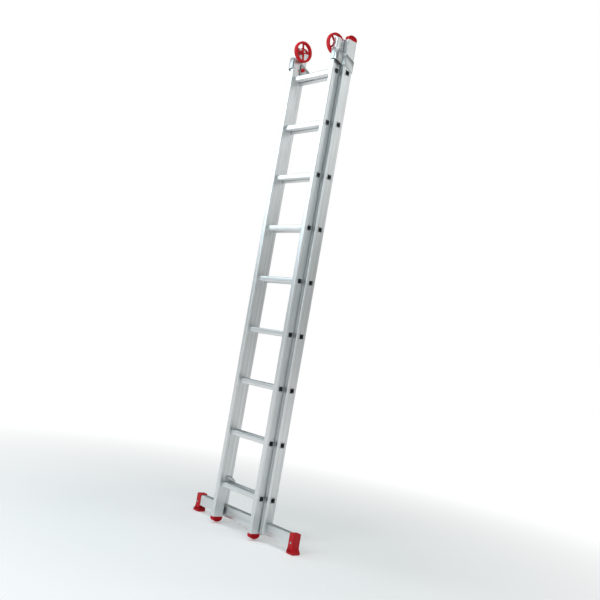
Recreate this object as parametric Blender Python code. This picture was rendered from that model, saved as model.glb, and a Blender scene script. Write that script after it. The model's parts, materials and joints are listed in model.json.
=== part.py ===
"""Two-section push-up extension ladder, standing upright with the front towards -Y.

The base section stands behind and outside the fly section. Metres, +Z up. Heights are counted
from the floor. Depths are counted from the fly's front face and moved to the object's frame by
the two section empties, so that the origin lies under the middle of the whole object.
"""

import math

import bmesh
import bpy

# Sections
RUNG_COUNT = 9
RUNG_PITCH = 0.280
END_LENGTH = 0.175  # stile beyond the centre of the first and of the last rung
FLY_WIDTH = 0.355
STILE_WIDTH = 0.027
STILE_DEPTH = 0.060
STILE_WALL = 0.002
STILE_CORNER = 0.003
NEST_SIDE_GAP = 0.0045  # fly stile's outer face to base stile's inner face
NEST_REAR_GAP = 0.0045  # fly stile's rear face to the base rungs
STILE_LIFT = 0.035  # stile ends above the floor

# Rungs
RUNG_HEIGHT = 0.028
RUNG_DEPTH = 0.028
RUNG_WALL = 0.0018
RUNG_CORNER = 0.004
RUNG_LIP = 0.0028  # how far the flared end stands out round the tube
RUNG_LIP_THICKNESS = 0.0015

# Stabiliser bar and its shoes
BAR_LENGTH = 0.839
BAR_HEIGHT = 0.060
BAR_DEPTH = 0.038
BAR_WALL = 0.002
BAR_CORNER = 0.005
BAR_BOLT_RADIUS = 0.004
SHOE_LENGTH = 0.038
SHOE_WALL = 0.004
SHOE_TOP_COVER = 0.005
SHOE_FLARE_OUT = 0.012  # the sole's spread away from the ladder
SHOE_FLARE_IN = 0.003
SHOE_FLARE_DEPTH = 0.003
SHOE_CORNER = 0.007
SHOE_FLARE_TOP = 0.030
SHOE_FLARE_HEIGHT = 0.014
SHOE_SOLE_BEVEL = 0.005
SHOE_SCREW_HEIGHT = 0.055
SHOE_SCREW_INSET = 0.017  # from the shoe's outer end
SCREW_RADIUS = 0.0025

# Heads and tips, as shares of the shank's radius or of the head's
BAR_BOLT_HEAD = 1.7
SCREW_HEAD = 2.0
PIN_HEAD = 1.6
AXLE_HEAD_HEIGHT = 0.75
PIVOT_HEAD_HEIGHT = 0.7
PIVOT_HEAD_SHOULDER = 0.3
HEAD_CROWN = 0.6
HEAD_BEVEL = 0.7
PIN_CROWN = 0.8
PIN_END = 0.5
CLAMP_TIP = 0.7

# End caps, the same on the base's tops and the fly's feet
CAP_SKIRT = 0.010
CAP_CROWN = 0.027
CAP_PLUG = 0.022
CAP_ARC_STEPS = 8
CAP_POCKETS = 3
CAP_POCKET_DEPTH = 0.004
CAP_POCKET_WIDTH = 0.6  # share of the pockets' spacing
CAP_POCKET_FOOT = 0.7  # share of the skirt

# Wall wheels
WHEEL_RADIUS = 0.0575
WHEEL_WIDTH = 0.022
WHEEL_RIM = 0.0125
WHEEL_WEB = 0.008
WHEEL_SPOKES = 4
WHEEL_SPOKE_WIDTH = 0.010
WHEEL_TURNS = {"left": 11.0, "right": 43.0}  # degrees that a spoke stands above level
WHEEL_EDGE = 0.2  # chamfer of the rim as a share of its height
WHEEL_HUB_RADIUS = 0.012
WHEEL_STANDOFF = 0.009  # fly stile's inner face to the rim
WHEEL_TOP_INSET = 0.0205  # axle below the stile's top end
AXLE_RADIUS = 0.004

# Guide brackets, strips bent round both stiles at the base's top
STRIP_HEIGHT = 0.060
STRIP_THICKNESS = 0.003
STRIP_FALL = 0.4  # drop per unit of depth, front to rear
STRIP_ABOVE_RUNG = 0.002
FRONT_CLEARANCE = 0.005  # fly stile's front face to the strip
SIDE_CLEARANCE = 0.0165  # fly stile's outer face to the strip
LEG_CLEARANCE = 0.0035  # fly stile's inner face to the strip's inner leg
STRIP_CORNER = 0.0185  # radius of the strip's middle line at the front corner
LEG_BEHIND_RUNG = 0.002  # fly rungs pass this far in front of the inner leg
LINER_RUNNING_GAP = 0.0007  # beside the rungs' flared ends, and before the fly's front face
LINER_RECESS = 0.003
STRIP_BOLT_RADIUS = 0.003
KNOB_LENGTH = 0.013
KNOB_LOBES = 8
KNOB_DIP = 0.06  # depth of the hollows between lobes as a share of the radius
KNOB_PROFILE = ((0.0, 0.86), (0.2, 1.0), (0.8, 1.0), (1.0, 0.8))  # shares of length and radius
KNOB_BORE = 0.7  # depth of its screw hole as a share of the length
CLAMP_SCREW_RADIUS = 0.003

# Catch hooks on the fly's bottom
HOOK_THICKNESS = 0.005
HOOK_RADIUS = 0.012
HOOK_PIVOT_ABOVE_RUNG = 0.020  # over the rungs' tops
HOOK_PIVOT_SETBACK = 0.0165  # in front of the base rungs
HOOK_NOSE = 0.0085
HOOK_NOSE_DROP = 0.012
HOOK_ROOF_GAP = 0.0005
HOOK_NOSE_GAP = 0.001
HOOK_EYE_START = 60  # degrees from the rear, over the top, where the round eye starts
HOOK_EYE_SPAN = 210
HOOK_EYE_STEPS = 8
HOOK_BACK = 0.8  # where the sloping back meets the eye, as a share of its radius
PIVOT_RADIUS = 0.004

# Clearances and facets
FIT = 0.0003  # between pieces that touch
RUNNING = 0.0003  # round pins and screws
ROUND_STEPS = 16
WHEEL_STEPS = 32
CORNER_STEPS = 2

# Derived sizes
FLY_HALF = FLY_WIDTH / 2
FLY_INNER = FLY_HALF - STILE_WIDTH
FLY_LIP_END = FLY_HALF + FIT + RUNG_LIP_THICKNESS  # the fly rungs' flared ends
BASE_INNER = FLY_HALF + NEST_SIDE_GAP
BASE_HALF = BASE_INNER + STILE_WIDTH
BASE_FRONT = (STILE_DEPTH + RUNG_DEPTH) / 2 + NEST_REAR_GAP
BASE_REAR = BASE_FRONT + STILE_DEPTH
STILE_LENGTH = (RUNG_COUNT - 1) * RUNG_PITCH + 2 * END_LENGTH
STILE_TOP = STILE_LIFT + STILE_LENGTH
FIRST_RUNG = STILE_LIFT + END_LENGTH
TOP_RUNG = FIRST_RUNG + (RUNG_COUNT - 1) * RUNG_PITCH
BASE_RUNG_Y = BASE_FRONT + STILE_DEPTH / 2
BASE_RUNG_FRONT = BASE_RUNG_Y - RUNG_DEPTH / 2
BASE_RUNG_REAR = BASE_RUNG_Y + RUNG_DEPTH / 2
FLY_RUNG_Y = STILE_DEPTH / 2
FLY_RUNG_REAR = FLY_RUNG_Y + RUNG_DEPTH / 2
BAR_FRONT = BASE_REAR - BAR_DEPTH
BAR_BOTTOM = STILE_LIFT
BAR_TOP = BAR_BOTTOM + BAR_HEIGHT
BAR_Y = BAR_FRONT + BAR_DEPTH / 2
BAR_HALF = BAR_LENGTH / 2
SHOE_END = BAR_HALF + FIT + SHOE_WALL
SHOE_FRONT = BAR_FRONT - FIT - SHOE_WALL
SHOE_REAR = BASE_REAR + FIT + SHOE_WALL
SHOE_TOP = BAR_TOP + FIT + SHOE_TOP_COVER
WHEEL_X = FLY_INNER - WHEEL_STANDOFF - WHEEL_WIDTH / 2
WHEEL_Y = STILE_DEPTH / 2
WHEEL_Z = STILE_TOP - WHEEL_TOP_INSET
STRIP_REAR = BASE_REAR + FIT + STRIP_THICKNESS
LEG_X = FLY_INNER - LEG_CLEARANCE - STRIP_THICKNESS / 2
LEG_FRONT = FLY_RUNG_REAR + LEG_BEHIND_RUNG
# The clamp screw bears on the fly stile up to its rear edge, and the rungs pass the knob.
KNOB_RADIUS = STILE_DEPTH - LEG_FRONT - CLAMP_SCREW_RADIUS
KNOB_Y = LEG_FRONT + KNOB_RADIUS
# The strip's lower edge clears the base's top rung at the rung's rear face.
STRIP_BOTTOM = TOP_RUNG + RUNG_HEIGHT / 2 + STRIP_ABOVE_RUNG + STRIP_FALL * BASE_RUNG_REAR
HOOK_Y = BASE_RUNG_FRONT - HOOK_PIVOT_SETBACK
HOOK_Z = FIRST_RUNG + RUNG_HEIGHT / 2 + HOOK_PIVOT_ABOVE_RUNG
HOOK_X = FLY_INNER - RUNNING - HOOK_THICKNESS / 2
DEPTH_LOW = min(WHEEL_Y - WHEEL_RADIUS, -FRONT_CLEARANCE - STRIP_THICKNESS)
DEPTH_HIGH = SHOE_REAR + SHOE_FLARE_DEPTH
FRONT_SHIFT = -(DEPTH_LOW + DEPTH_HIGH) / 2
SIDES = {"left": -1, "right": 1}


def clear_scene():
    """Remove every object that the scene starts with."""
    for old in list(bpy.data.objects):
        bpy.data.objects.remove(old, do_unlink=True)


def make_material(name, colour, roughness, metallic):
    """Make a material with one Principled shader."""
    made = bpy.data.materials.new(name)
    made.use_nodes = True
    shader = made.node_tree.nodes["Principled BSDF"]
    shader.inputs["Base Color"].default_value = (*colour, 1.0)
    shader.inputs["Roughness"].default_value = roughness
    shader.inputs["Metallic"].default_value = metallic
    return made


def aluminium_profile():
    return make_material("aluminium_profile", (0.70, 0.72, 0.73), 0.42, 1.0)


def aluminium_strip():
    return make_material("aluminium_strip", (0.52, 0.55, 0.55), 0.38, 1.0)


def red_plastic():
    return make_material("red_plastic", (0.62, 0.01, 0.03), 0.38, 0.0)


def black_plastic():
    return make_material("black_plastic", (0.015, 0.016, 0.018), 0.5, 0.0)


def zinc_steel():
    return make_material("zinc_steel", (0.55, 0.56, 0.57), 0.35, 1.0)


def add_object(name, mesh, material, parent=None, location=(0, 0, 0)):
    """Place a mesh in the scene under a section's empty."""
    made = bpy.data.objects.new(name, mesh)
    bpy.context.scene.collection.objects.link(made)
    made.location = location
    made.parent = parent
    if material:
        made.data.materials.append(material)
    return made


def add_empty(name, location):
    made = bpy.data.objects.new(name, None)
    bpy.context.scene.collection.objects.link(made)
    made.location = location
    return made


def finish_mesh(name, shape, smooth_degrees=30):
    """Turn a bmesh into a mesh whose faces point out, smooth over its gentle edges."""
    bmesh.ops.remove_doubles(shape, verts=shape.verts, dist=1e-6)
    bmesh.ops.recalc_face_normals(shape, faces=shape.faces)
    mesh = bpy.data.meshes.new(name)
    shape.to_mesh(mesh)
    shape.free()
    mesh.shade_smooth()
    mesh.set_sharp_from_angle(angle=math.radians(smooth_degrees))
    return mesh


def bridge(shape, first, second):
    """Join two rings of equally many vertices by a band of quads."""
    count = len(first)
    for i in range(count):
        j = (i + 1) % count
        shape.faces.new((first[i], first[j], second[j], second[i]))


def band_mesh(name, rings, hollow):
    """Join rings of points in order. A hollow shape runs back to its first ring."""
    shape = bmesh.new()
    loops = [[shape.verts.new(point) for point in ring] for ring in rings]
    for first, second in zip(loops, loops[1:]):
        bridge(shape, first, second)
    if hollow:
        bridge(shape, loops[-1], loops[0])
    else:
        shape.faces.new(loops[0])
        shape.faces.new(loops[-1])
    return finish_mesh(name, shape)


def rounded_rectangle(width, height, radius, steps=CORNER_STEPS):
    """Points of a rectangle about the origin with round corners, anticlockwise."""
    radius = min(radius, width / 2 - FIT, height / 2 - FIT)
    points = []
    for quarter, (sx, sy) in enumerate(((1, 1), (-1, 1), (-1, -1), (1, -1))):
        cx = sx * (width / 2 - radius)
        cy = sy * (height / 2 - radius)
        for step in range(steps + 1):
            angle = math.pi / 2 * (quarter + step / steps)
            points.append((cx + radius * math.cos(angle), cy + radius * math.sin(angle)))
    return points


def ring_x(x, section, y=0.0, z=0.0):
    """A section's points as a ring across the X axis."""
    return [(x, y + a, z + b) for a, b in section]


def ring_z(z, section, x=0.0, y=0.0):
    """A section's points as a ring across the Z axis."""
    return [(x + a, y + b, z) for a, b in section]


def turned_mesh(name, profile, steps=ROUND_STEPS, axis="X", hollow=False):
    """Turn (along, radius) points about an axis through the origin."""
    rings = []
    for along, radius in profile:
        ring = []
        for step in range(steps):
            angle = 2 * math.pi * step / steps
            a = radius * math.cos(angle)
            b = radius * math.sin(angle)
            ring.append((along, a, b) if axis == "X" else (a, along, b))
        rings.append(ring)
    return band_mesh(name, rings, hollow)


def mirrored(points, side):
    return [(side * x, y) for x, y in points]


def cut(target, cutter, name):
    """Take a hidden cutter's shape out of a piece."""
    cutter.hide_render = True
    cutter.display_type = "WIRE"
    modifier = target.modifiers.new(name, "BOOLEAN")
    modifier.operation = "DIFFERENCE"
    modifier.solver = "EXACT"
    modifier.object = cutter


def cutter_from(name, mesh, parent, location=(0, 0, 0)):
    return add_object(name, mesh, None, parent, location)


def joined_mesh(name, meshes):
    """Put several closed meshes into one, as a cutter of separate shapes."""
    shape = bmesh.new()
    for mesh in meshes:
        shape.from_mesh(mesh)
    return finish_mesh(name, shape)


def box_mesh(name, low, high):
    section = [(low[0], low[1]), (high[0], low[1]), (high[0], high[1]), (low[0], high[1])]
    return band_mesh(name, [ring_z(low[2], section), ring_z(high[2], section)], False)


# Stiles and rungs


def stile_mesh(name):
    """A box tube standing on the origin, its width about X = 0 and its depth from Y = 0."""
    outer = rounded_rectangle(STILE_WIDTH, STILE_DEPTH, STILE_CORNER)
    inner = rounded_rectangle(
        STILE_WIDTH - 2 * STILE_WALL, STILE_DEPTH - 2 * STILE_WALL, STILE_CORNER / 2
    )
    middle = STILE_DEPTH / 2
    rings = [
        ring_z(0, outer, y=middle),
        ring_z(STILE_LENGTH, outer, y=middle),
        ring_z(STILE_LENGTH, inner, y=middle),
        ring_z(0, inner, y=middle),
    ]
    return band_mesh(name, rings, True)


def rung_holes_mesh(name):
    """One straight cutter for each rung, through both walls of a stile."""
    section = rounded_rectangle(
        RUNG_DEPTH + 2 * FIT, RUNG_HEIGHT + 2 * FIT, RUNG_CORNER + FIT
    )
    reach = STILE_WIDTH
    made = []
    for index in range(RUNG_COUNT):
        z = END_LENGTH + index * RUNG_PITCH
        rings = [
            ring_x(-reach, section, STILE_DEPTH / 2, z),
            ring_x(reach, section, STILE_DEPTH / 2, z),
        ]
        made.append(band_mesh(f"{name}_{index + 1}", rings, False))
    return joined_mesh(name, made)


def pin_hole_mesh(name, radius, low, high, axis="X"):
    """A round cutter along one axis, from low to high."""
    return turned_mesh(name, [(low, radius), (high, radius)], axis=axis)


def rung_mesh(name, half_width):
    """A square tube along X whose ends are flared over the stiles' outer faces."""
    tube = rounded_rectangle(RUNG_DEPTH, RUNG_HEIGHT, RUNG_CORNER)
    flare = rounded_rectangle(
        RUNG_DEPTH + 2 * RUNG_LIP, RUNG_HEIGHT + 2 * RUNG_LIP, RUNG_CORNER + RUNG_LIP
    )
    bore = rounded_rectangle(
        RUNG_DEPTH - 2 * RUNG_WALL, RUNG_HEIGHT - 2 * RUNG_WALL, RUNG_CORNER - RUNG_WALL / 2
    )
    seat = half_width + FIT
    end = seat + RUNG_LIP_THICKNESS
    rings = [
        ring_x(-end, flare),
        ring_x(-seat, flare),
        ring_x(-seat, tube),
        ring_x(seat, tube),
        ring_x(seat, flare),
        ring_x(end, flare),
        ring_x(end, bore),
        ring_x(-end, bore),
    ]
    return band_mesh(name, rings, True)


def add_section(prefix, parent, half_width, front, material):
    """Two stiles and their rungs, with square holes where the rungs pass."""
    stiles = {}
    holes = rung_holes_mesh(f"{prefix}_rung_holes")
    for side, sign in SIDES.items():
        place = (sign * (half_width - STILE_WIDTH / 2), front, STILE_LIFT)
        name = f"{prefix}_stile_{side}"
        stiles[side] = add_object(name, stile_mesh(name), material, parent, place)
        cutter = cutter_from(f"{name}_holes", holes, parent, place)
        cut(stiles[side], cutter, "rung_holes")
    mesh = rung_mesh(f"{prefix}_rung", half_width)
    mesh.materials.append(material)
    for index in range(RUNG_COUNT):
        place = (0, front + STILE_DEPTH / 2, FIRST_RUNG + index * RUNG_PITCH)
        add_object(f"{prefix}_rung_{index + 1}", mesh, None, parent, place)
    return stiles


# End caps


def cap_mesh(name):
    """A plug with a skirt and an arched crown, its skirt standing on Z = 0, arched along Y."""
    half_depth = STILE_DEPTH / 2
    rise = CAP_CROWN - CAP_SKIRT
    outline = [(-half_depth, 0.0)]
    for step in range(CAP_ARC_STEPS + 1):
        angle = math.pi * (1 - step / CAP_ARC_STEPS)
        outline.append((half_depth * math.cos(angle), CAP_SKIRT + rise * math.sin(angle)))
    outline.append((half_depth, 0.0))
    half_width = STILE_WIDTH / 2
    rings = [ring_x(-half_width, outline), ring_x(half_width, outline)]
    crown = band_mesh(name, rings, False)
    plug = half_depth - STILE_WALL - FIT
    plug_width = half_width - STILE_WALL - FIT
    section = rounded_rectangle(2 * plug_width, 2 * plug, STILE_CORNER / 2)
    rings = [ring_z(-CAP_PLUG, section), ring_z(CAP_SKIRT / 2, section)]
    return crown, band_mesh(f"{name}_plug", rings, False)


def cap_pockets_mesh(name):
    """Upright recesses in both side faces of a cap's crown."""
    spacing = STILE_DEPTH / (CAP_POCKETS + 1)
    width = spacing * CAP_POCKET_WIDTH
    half_width = STILE_WIDTH / 2
    made = []
    for index in range(CAP_POCKETS):
        y = (index - (CAP_POCKETS - 1) / 2) * spacing
        away = abs(y) / (STILE_DEPTH / 2)
        top = CAP_SKIRT + (CAP_CROWN - CAP_SKIRT) * math.sqrt(1 - away**2) - CAP_POCKET_DEPTH
        for sign in (-1, 1):
            near = sign * (half_width - CAP_POCKET_DEPTH)
            far = sign * (half_width + CAP_POCKET_DEPTH)
            low = (min(near, far), y - width / 2, CAP_SKIRT * CAP_POCKET_FOOT)
            high = (max(near, far), y + width / 2, top)
            made.append(box_mesh(f"{name}_{index}_{sign}", low, high))
    return joined_mesh(name, made)


def add_cap(name, parent, place, upwards, material):
    """A cap on a stile's end, with its crown away from the stile."""
    crown_mesh, plug_mesh = cap_mesh(name)
    cap = add_object(name, crown_mesh, material, parent, place)
    plug = cutter_from(f"{name}_plug", plug_mesh, parent, place)
    pockets = cutter_from(f"{name}_pockets", cap_pockets_mesh(f"{name}_pockets"), parent, place)
    for part in (cap, plug, pockets):
        part.rotation_euler = (0 if upwards else math.pi, 0, 0)
    cut(cap, plug, "plug")
    cap.modifiers["plug"].operation = "UNION"
    cut(cap, pockets, "pockets")
    return cap


# Stabiliser bar


def bar_section(extra=0.0):
    return rounded_rectangle(BAR_DEPTH + 2 * extra, BAR_HEIGHT + 2 * extra, BAR_CORNER + extra)


def add_bar(parent, stiles, material):
    """The bar through the rear of both base stiles, and the notches that it lies in."""
    bore = rounded_rectangle(
        BAR_DEPTH - 2 * BAR_WALL, BAR_HEIGHT - 2 * BAR_WALL, BAR_CORNER - BAR_WALL
    )
    rings = [
        ring_x(-BAR_HALF, bar_section()),
        ring_x(BAR_HALF, bar_section()),
        ring_x(BAR_HALF, bore),
        ring_x(-BAR_HALF, bore),
    ]
    place = (0, BAR_Y, BAR_BOTTOM + BAR_HEIGHT / 2)
    mesh = band_mesh("stabiliser_bar", rings, True)
    bar = add_object("stabiliser_bar", mesh, material, parent, place)
    reach = BASE_HALF + STILE_WIDTH
    low = (-reach, BAR_FRONT - FIT, BAR_BOTTOM - STILE_LIFT)
    high = (reach, BASE_REAR + STILE_WALL, BAR_TOP + FIT)
    notch = cutter_from("bar_notch", box_mesh("bar_notch", low, high), parent)
    for stile in stiles.values():
        cut(stile, notch, "bar_notch")
    return bar


def add_bar_bolts(parent, bar, stiles, material):
    """A bolt from the rear through the bar into each base stile's front wall."""
    head = BAR_BOLT_RADIUS * BAR_BOLT_HEAD
    head_height = BAR_BOLT_RADIUS
    z = BAR_BOTTOM + BAR_HEIGHT / 2
    tip = BASE_FRONT + FIT
    for side, sign in SIDES.items():
        x = sign * (BASE_HALF - STILE_WIDTH / 2)
        seat = BASE_REAR + FIT
        profile = [
            (tip, BAR_BOLT_RADIUS),
            (seat, BAR_BOLT_RADIUS),
            (seat, head),
            (seat + head_height / 2, head),
            (seat + head_height, head * HEAD_BEVEL),
        ]
        name = f"bar_bolt_{side}"
        add_object(name, turned_mesh(name, profile, axis="Y"), material, parent, (x, 0, z))
        start = BASE_FRONT - STILE_DEPTH
        end = seat + STILE_DEPTH
        hole = pin_hole_mesh(f"{name}_hole", BAR_BOLT_RADIUS + RUNNING, start, end, "Y")
        cutter = cutter_from(f"{name}_hole", hole, parent, (x, 0, z))
        cut(bar, cutter, f"bolt_{side}")
        cut(stiles[side], cutter, "bar_bolt")


def shoe_rings(sign):
    """Level outlines of a shoe from its sole to its top, as height, spread and bevel."""
    levels = (
        (0.0, 1.0, SHOE_SOLE_BEVEL),
        (SHOE_SOLE_BEVEL, 1.0, 0.0),
        (SHOE_FLARE_HEIGHT, 1.0, 0.0),
        (SHOE_FLARE_TOP, 0.0, 0.0),
        (SHOE_TOP - SHOE_WALL / 2, 0.0, 0.0),
        (SHOE_TOP, 0.0, SHOE_WALL / 2),
    )
    rings = []
    for z, spread, bevel in levels:
        outer = SHOE_END + spread * SHOE_FLARE_OUT - bevel
        inner = SHOE_END - SHOE_LENGTH - spread * SHOE_FLARE_IN + bevel
        depth = SHOE_REAR - SHOE_FRONT + 2 * spread * SHOE_FLARE_DEPTH - 2 * bevel
        section = rounded_rectangle(outer - inner, depth, SHOE_CORNER, 1)
        middle = sign * (inner + outer) / 2
        rings.append(ring_z(z, section, middle, (SHOE_FRONT + SHOE_REAR) / 2))
    return rings


def add_shoes(parent, bar, plastic, steel):
    """A shoe over each end of the bar, held by a screw from the front."""
    z = SHOE_SCREW_HEIGHT
    for side, sign in SIDES.items():
        name = f"bar_shoe_{side}"
        shoe = add_object(name, band_mesh(name, shoe_rings(sign), False), plastic, parent)
        inner = SHOE_END - SHOE_LENGTH - SHOE_FLARE_IN
        ends = sorted((sign * (inner - SHOE_WALL), sign * (BAR_HALF + FIT)))
        middle = BAR_BOTTOM + BAR_HEIGHT / 2
        rings = [ring_x(x, bar_section(FIT), BAR_Y, middle) for x in ends]
        pocket = cutter_from(f"{name}_pocket", band_mesh(f"{name}_pocket", rings, False), parent)
        cut(shoe, pocket, "pocket")
        x = sign * (SHOE_END - SHOE_SCREW_INSET)
        seat = SHOE_FRONT - FIT
        head = SCREW_RADIUS * SCREW_HEAD
        profile = [
            (seat - SCREW_RADIUS, head * HEAD_CROWN),
            (seat - SCREW_RADIUS / 2, head),
            (seat, head),
            (seat, SCREW_RADIUS),
            (BAR_FRONT + 4 * BAR_WALL, SCREW_RADIUS),
            (BAR_FRONT + 5 * BAR_WALL, SCREW_RADIUS / 2),
        ]
        screw = f"shoe_screw_{side}"
        add_object(screw, turned_mesh(screw, profile, axis="Y"), steel, parent, (x, 0, z))
        hole = pin_hole_mesh(
            f"{screw}_hole", SCREW_RADIUS + RUNNING, SHOE_FRONT - BAR_DEPTH, BAR_Y, "Y"
        )
        cutter = cutter_from(f"{screw}_hole", hole, parent, (x, 0, z))
        cut(shoe, cutter, "screw_hole")
        cut(bar, cutter, f"screw_{side}")


# Guide brackets


def strip_centre_line():
    """The bent strip's middle line in plan for the right side, from its front lip to its leg."""
    half = STRIP_THICKNESS / 2
    lip_y = -FRONT_CLEARANCE - half
    side_x = FLY_HALF + SIDE_CLEARANCE + half
    web_x = BASE_HALF + FIT + half
    points = [(FLY_INNER + STRIP_THICKNESS, lip_y)]
    steps = CORNER_STEPS * 4
    for step in range(steps + 1):
        angle = math.pi / 2 * (step / steps - 1)
        points.append(
            (
                side_x - STRIP_CORNER + STRIP_CORNER * math.cos(angle),
                lip_y + STRIP_CORNER + STRIP_CORNER * math.sin(angle),
            )
        )
    flange_y = BASE_FRONT - FIT - half
    rear_y = BASE_REAR + FIT + half
    points += [
        (side_x, flange_y),
        (web_x, flange_y),
        (web_x, rear_y),
        (LEG_X, rear_y),
        (LEG_X, LEG_FRONT),
    ]
    return points


def offset_line(points, distance):
    """The line moved sideways by a distance, mitred at its bends."""
    moved = []
    for index, (x, y) in enumerate(points):
        before = points[max(index - 1, 0)]
        after = points[min(index + 1, len(points) - 1)]
        normals = []
        for (ax, ay), (bx, by) in ((before, (x, y)), ((x, y), after)):
            length = math.hypot(bx - ax, by - ay)
            if length > 0:
                normals.append(((by - ay) / length, (ax - bx) / length))
        nx = sum(n[0] for n in normals) / len(normals)
        ny = sum(n[1] for n in normals) / len(normals)
        size = nx * nx + ny * ny
        moved.append((x + distance * nx / size, y + distance * ny / size))
    return moved


def falling(z, y):
    """Height on a bracket's slope at a depth."""
    return z - STRIP_FALL * y


def sloped_prism(name, outline, sign, bottom, top):
    """Raise a plan outline between two sloping planes."""
    plan = mirrored(outline, sign)
    rings = [
        [(x, y, falling(bottom, y)) for x, y in plan],
        [(x, y, falling(top, y)) for x, y in plan],
    ]
    return band_mesh(name, rings, False)


def liner_outline():
    """Plan of the plastic between the strip and the fly stile's front and outer faces."""
    inside = offset_line(strip_centre_line(), -STRIP_THICKNESS / 2 - FIT)
    arc_count = CORNER_STEPS * 4 + 2
    outer = inside[:arc_count]
    end_y = BASE_FRONT - FIT - STRIP_THICKNESS - LINER_RECESS
    outer.append((outer[-1][0], end_y))
    near_x = FLY_LIP_END + LINER_RUNNING_GAP
    near_y = -LINER_RUNNING_GAP
    return outer + [(near_x, end_y), (near_x, near_y), (outer[0][0], near_y)]


def add_bracket(side, sign, parent, stile, finishes):
    """One guide bracket with its liner, its bolt, and the clamp screw and knob on its leg."""
    line = strip_centre_line()
    half = STRIP_THICKNESS / 2
    outline = offset_line(line, half) + offset_line(line, -half)[::-1]
    name = f"guide_bracket_{side}"
    top = STRIP_BOTTOM + STRIP_HEIGHT
    mesh = sloped_prism(name, outline, sign, STRIP_BOTTOM, top)
    bracket = add_object(name, mesh, finishes["strip"], parent)

    liner = f"guide_liner_{side}"
    mesh = sloped_prism(
        liner, liner_outline(), sign, STRIP_BOTTOM + LINER_RECESS, top - LINER_RECESS
    )
    add_object(liner, mesh, finishes["black"], parent)

    bolt = f"bracket_bolt_{side}"
    x = sign * (FLY_HALF + SIDE_CLEARANCE + BASE_HALF) / 2 + sign * half
    seat = BASE_FRONT - 2 * FIT - STRIP_THICKNESS
    z = falling(STRIP_BOTTOM + STRIP_HEIGHT / 2, BASE_FRONT)
    head = STRIP_BOLT_RADIUS * PIN_HEAD
    profile = [
        (seat - STRIP_BOLT_RADIUS, head * HEAD_CROWN),
        (seat - STRIP_BOLT_RADIUS / 2, head),
        (seat, head),
        (seat, STRIP_BOLT_RADIUS),
        (BASE_FRONT + 3 * STILE_WALL, STRIP_BOLT_RADIUS),
    ]
    add_object(bolt, turned_mesh(bolt, profile, axis="Y"), finishes["steel"], parent, (x, 0, z))
    start = seat - STRIP_THICKNESS
    end = BASE_FRONT + 4 * STILE_WALL
    hole = pin_hole_mesh(f"{bolt}_hole", STRIP_BOLT_RADIUS + RUNNING, start, end, "Y")
    cutter = cutter_from(f"{bolt}_hole", hole, parent, (x, 0, z))
    cut(bracket, cutter, "bolt_hole")
    cut(stile, cutter, "bracket_bolt")
    add_clamp(side, sign, parent, bracket, finishes)


def knob_mesh(name, sign):
    """A lobed knob whose seat is at X = 0 and which points to the ladder's middle."""
    steps = KNOB_LOBES * 4
    rings = []
    for share, scale in KNOB_PROFILE:
        along = KNOB_LENGTH * share
        ring = []
        for step in range(steps):
            angle = 2 * math.pi * step / steps
            hollow = (1 - math.cos(KNOB_LOBES * angle)) / 2
            radius = KNOB_RADIUS * scale * (1 - KNOB_DIP * hollow)
            ring.append((-sign * along, radius * math.cos(angle), radius * math.sin(angle)))
        rings.append(ring)
    return band_mesh(name, rings, False)


def add_clamp(side, sign, parent, bracket, finishes):
    """The clamp knob and its screw, turning about X through the bracket's inner leg."""
    z = falling(STRIP_BOTTOM + STRIP_HEIGHT / 2, KNOB_Y)
    leg_inner = LEG_X - STRIP_THICKNESS / 2
    place = (sign * (leg_inner - FIT), KNOB_Y, z)
    name = f"clamp_knob_{side}"
    knob = add_object(name, knob_mesh(name, sign), finishes["red"], parent, place)
    screw = f"clamp_screw_{side}"
    inside = KNOB_LENGTH * KNOB_BORE
    tip = FLY_INNER - RUNNING - (leg_inner - FIT)
    profile = [
        (-sign * inside, CLAMP_SCREW_RADIUS),
        (sign * (tip - CLAMP_SCREW_RADIUS / 3), CLAMP_SCREW_RADIUS),
        (sign * tip, CLAMP_SCREW_RADIUS * CLAMP_TIP),
    ]
    add_object(screw, turned_mesh(screw, profile), finishes["steel"], parent, place)
    end = LEG_CLEARANCE + 2 * STRIP_THICKNESS
    hole = pin_hole_mesh(f"{screw}_hole", CLAMP_SCREW_RADIUS + RUNNING, -inside - FIT, end)
    cutter = cutter_from(f"{screw}_hole", hole, parent, place)
    cutter.scale = (sign, 1, 1)
    cut(knob, cutter, "screw_hole")
    cut(bracket, cutter, "clamp_hole")


# Wall wheels


def wheel_profile():
    """Half section of a wheel as (along, radius) points, closed round the bore."""
    half = WHEEL_WIDTH / 2
    web = WHEEL_WEB / 2
    edge = WHEEL_RIM * WHEEL_EDGE
    bore = AXLE_RADIUS + RUNNING
    rim_inner = WHEEL_RADIUS - WHEEL_RIM
    near = half + WHEEL_STANDOFF - 3 * FIT
    return [
        (near, bore),
        (near, WHEEL_HUB_RADIUS),
        (web, WHEEL_HUB_RADIUS),
        (web, rim_inner),
        (half, rim_inner + edge),
        (half, WHEEL_RADIUS - edge),
        (half - edge, WHEEL_RADIUS),
        (edge - half, WHEEL_RADIUS),
        (-half, WHEEL_RADIUS - edge),
        (-half, rim_inner + edge),
        (-web, rim_inner),
        (-web, WHEEL_HUB_RADIUS),
        (-half, WHEEL_HUB_RADIUS),
        (-half, bore),
    ]


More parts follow.
